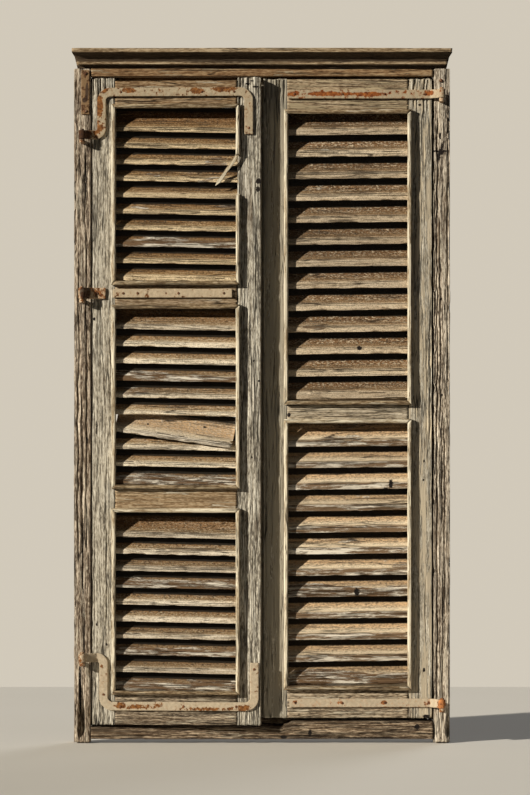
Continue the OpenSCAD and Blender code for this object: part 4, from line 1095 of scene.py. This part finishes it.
CREAM = (0.47, 0.375, 0.245)
PINK = (0.54, 0.435, 0.300)
RUST_DARK, RUST_LIGHT = (0.085, 0.030, 0.010), (0.33, 0.135, 0.036)
STRAP_LOOKS = {
    # The eye's black patch is rust with the barrel's painted shade.
    "left_strap_top": iron_finish(
        "left_strap_top_iron", CREAM, 0.95, RUST_DARK, RUST_LIGHT,
        ((103, 90, 6, 4, 1.7), (100, 106, 4, 15, 1.6), (129, 91, 8, 3, 1.3), (197, 91.5, 8, 3.5, 1.5),
         (224, 90, 13, 3.5, 1.6), (98, 128, 8, 7, 1.2), (84, 134, 10, 10, 1.4)),
        ((84, 136, 9, 7),)),
    "left_strap_bottom": iron_finish(
        "left_strap_bottom_iron", PINK, 1.15, RUST_DARK, RUST_LIGHT,
        ((121, 705, 8, 4, 1.6), (140, 706, 20, 3, 1.3), (158, 704, 7, 3, 1.2), (210, 708, 40, 2.4, 1.2),
         (243, 707, 8, 4, 1.4), (101, 666, 3, 3, 1.2), (82, 657, 4, 7, 0.8))),
    "left_strap_middle": iron_finish(
        "left_strap_middle_iron", (0.56, 0.44, 0.29), 1.1, RUST_DARK, RUST_LIGHT,
        ((117, 294, 3, 4, 0.8), (139, 295, 2, 3, 0.7), (147, 298, 3, 3, 0.7), (236, 296, 3, 4, 0.7))),
    "right_strap_top": iron_finish(
        "right_strap_top_iron", CREAM, 0.95, (0.12, 0.028, 0.008), (0.42, 0.135, 0.030),
        ((294, 94, 7, 3.0, 1.3), (328, 94, 20, 2.6, 1.9), (368, 94.4, 20, 2.6, 1.9), (345, 94, 50, 1.8, 1.3),
         (404, 92, 3, 2, 0.8), (428, 93, 6, 3, 1.1))),
    "right_strap_bottom": iron_finish(
        "right_strap_bottom_iron", PINK, 1.15, RUST_DARK, (0.58, 0.22, 0.07),
        ((294.5, 702.5, 4, 2.6, 1.0), (341, 702.5, 4, 2.6, 1.0), (384, 702.5, 4, 2.6, 1.0),
         (427, 702.5, 4, 2.6, 1.2), (441, 703, 6, 8, 2.2), (365, 708, 80, 1.6, 1.0))),
}
# The black patches on the top and middle hinges' eyes and arms are rust with painted shade.
rusted = iron_finish("rusted_iron", (0.56, 0.42, 0.27), 0.55, (0.080, 0.028, 0.010), (0.42, 0.165, 0.050),
                     (), ((85.5, 134, 9, 9), (86, 293, 6, 8)))
plate_iron = iron_finish("plate_iron", (0.27, 0.165, 0.080), 0.70, (0.06, 0.028, 0.012), (0.22, 0.105, 0.045),
                         (), ((87, 92, 1.8, 10), (85, 100, 3, 3, 0.6)))
nail_iron = iron_finish("nail_iron", (0.36, 0.25, 0.16), 0.2, (0.03, 0.018, 0.012), (0.26, 0.10, 0.04))
for node, finish in STRAP_LOOKS.items():
    iron_piece(node, finish, 0.0015, node.split("_")[0] + "_leaf", 0.0005)
iron_piece("left_hinge_plate", rusted, 0.0012, "left_leaf", 0.0008)
iron_piece("jamb_plate", plate_iron, 0.0011, "frame", 0.0006)
for node in ("pintle_left_top", "pintle_left_middle", "pintle_left_bottom", "pintle_right_top",
             "pintle_right_bottom"):
    iron_piece(node, rusted, 0.0014, "frame", 0.0005)


# The nails and screws are small headed iron, driven flush with the straps and weeping rust.
for node, body in (("left_nails", "left_leaf"), ("right_nails", "right_leaf"),
                   ("jamb_screws", "frame")):
    iron_piece(node, nail_iron, 0.0008, body, 0.0003)
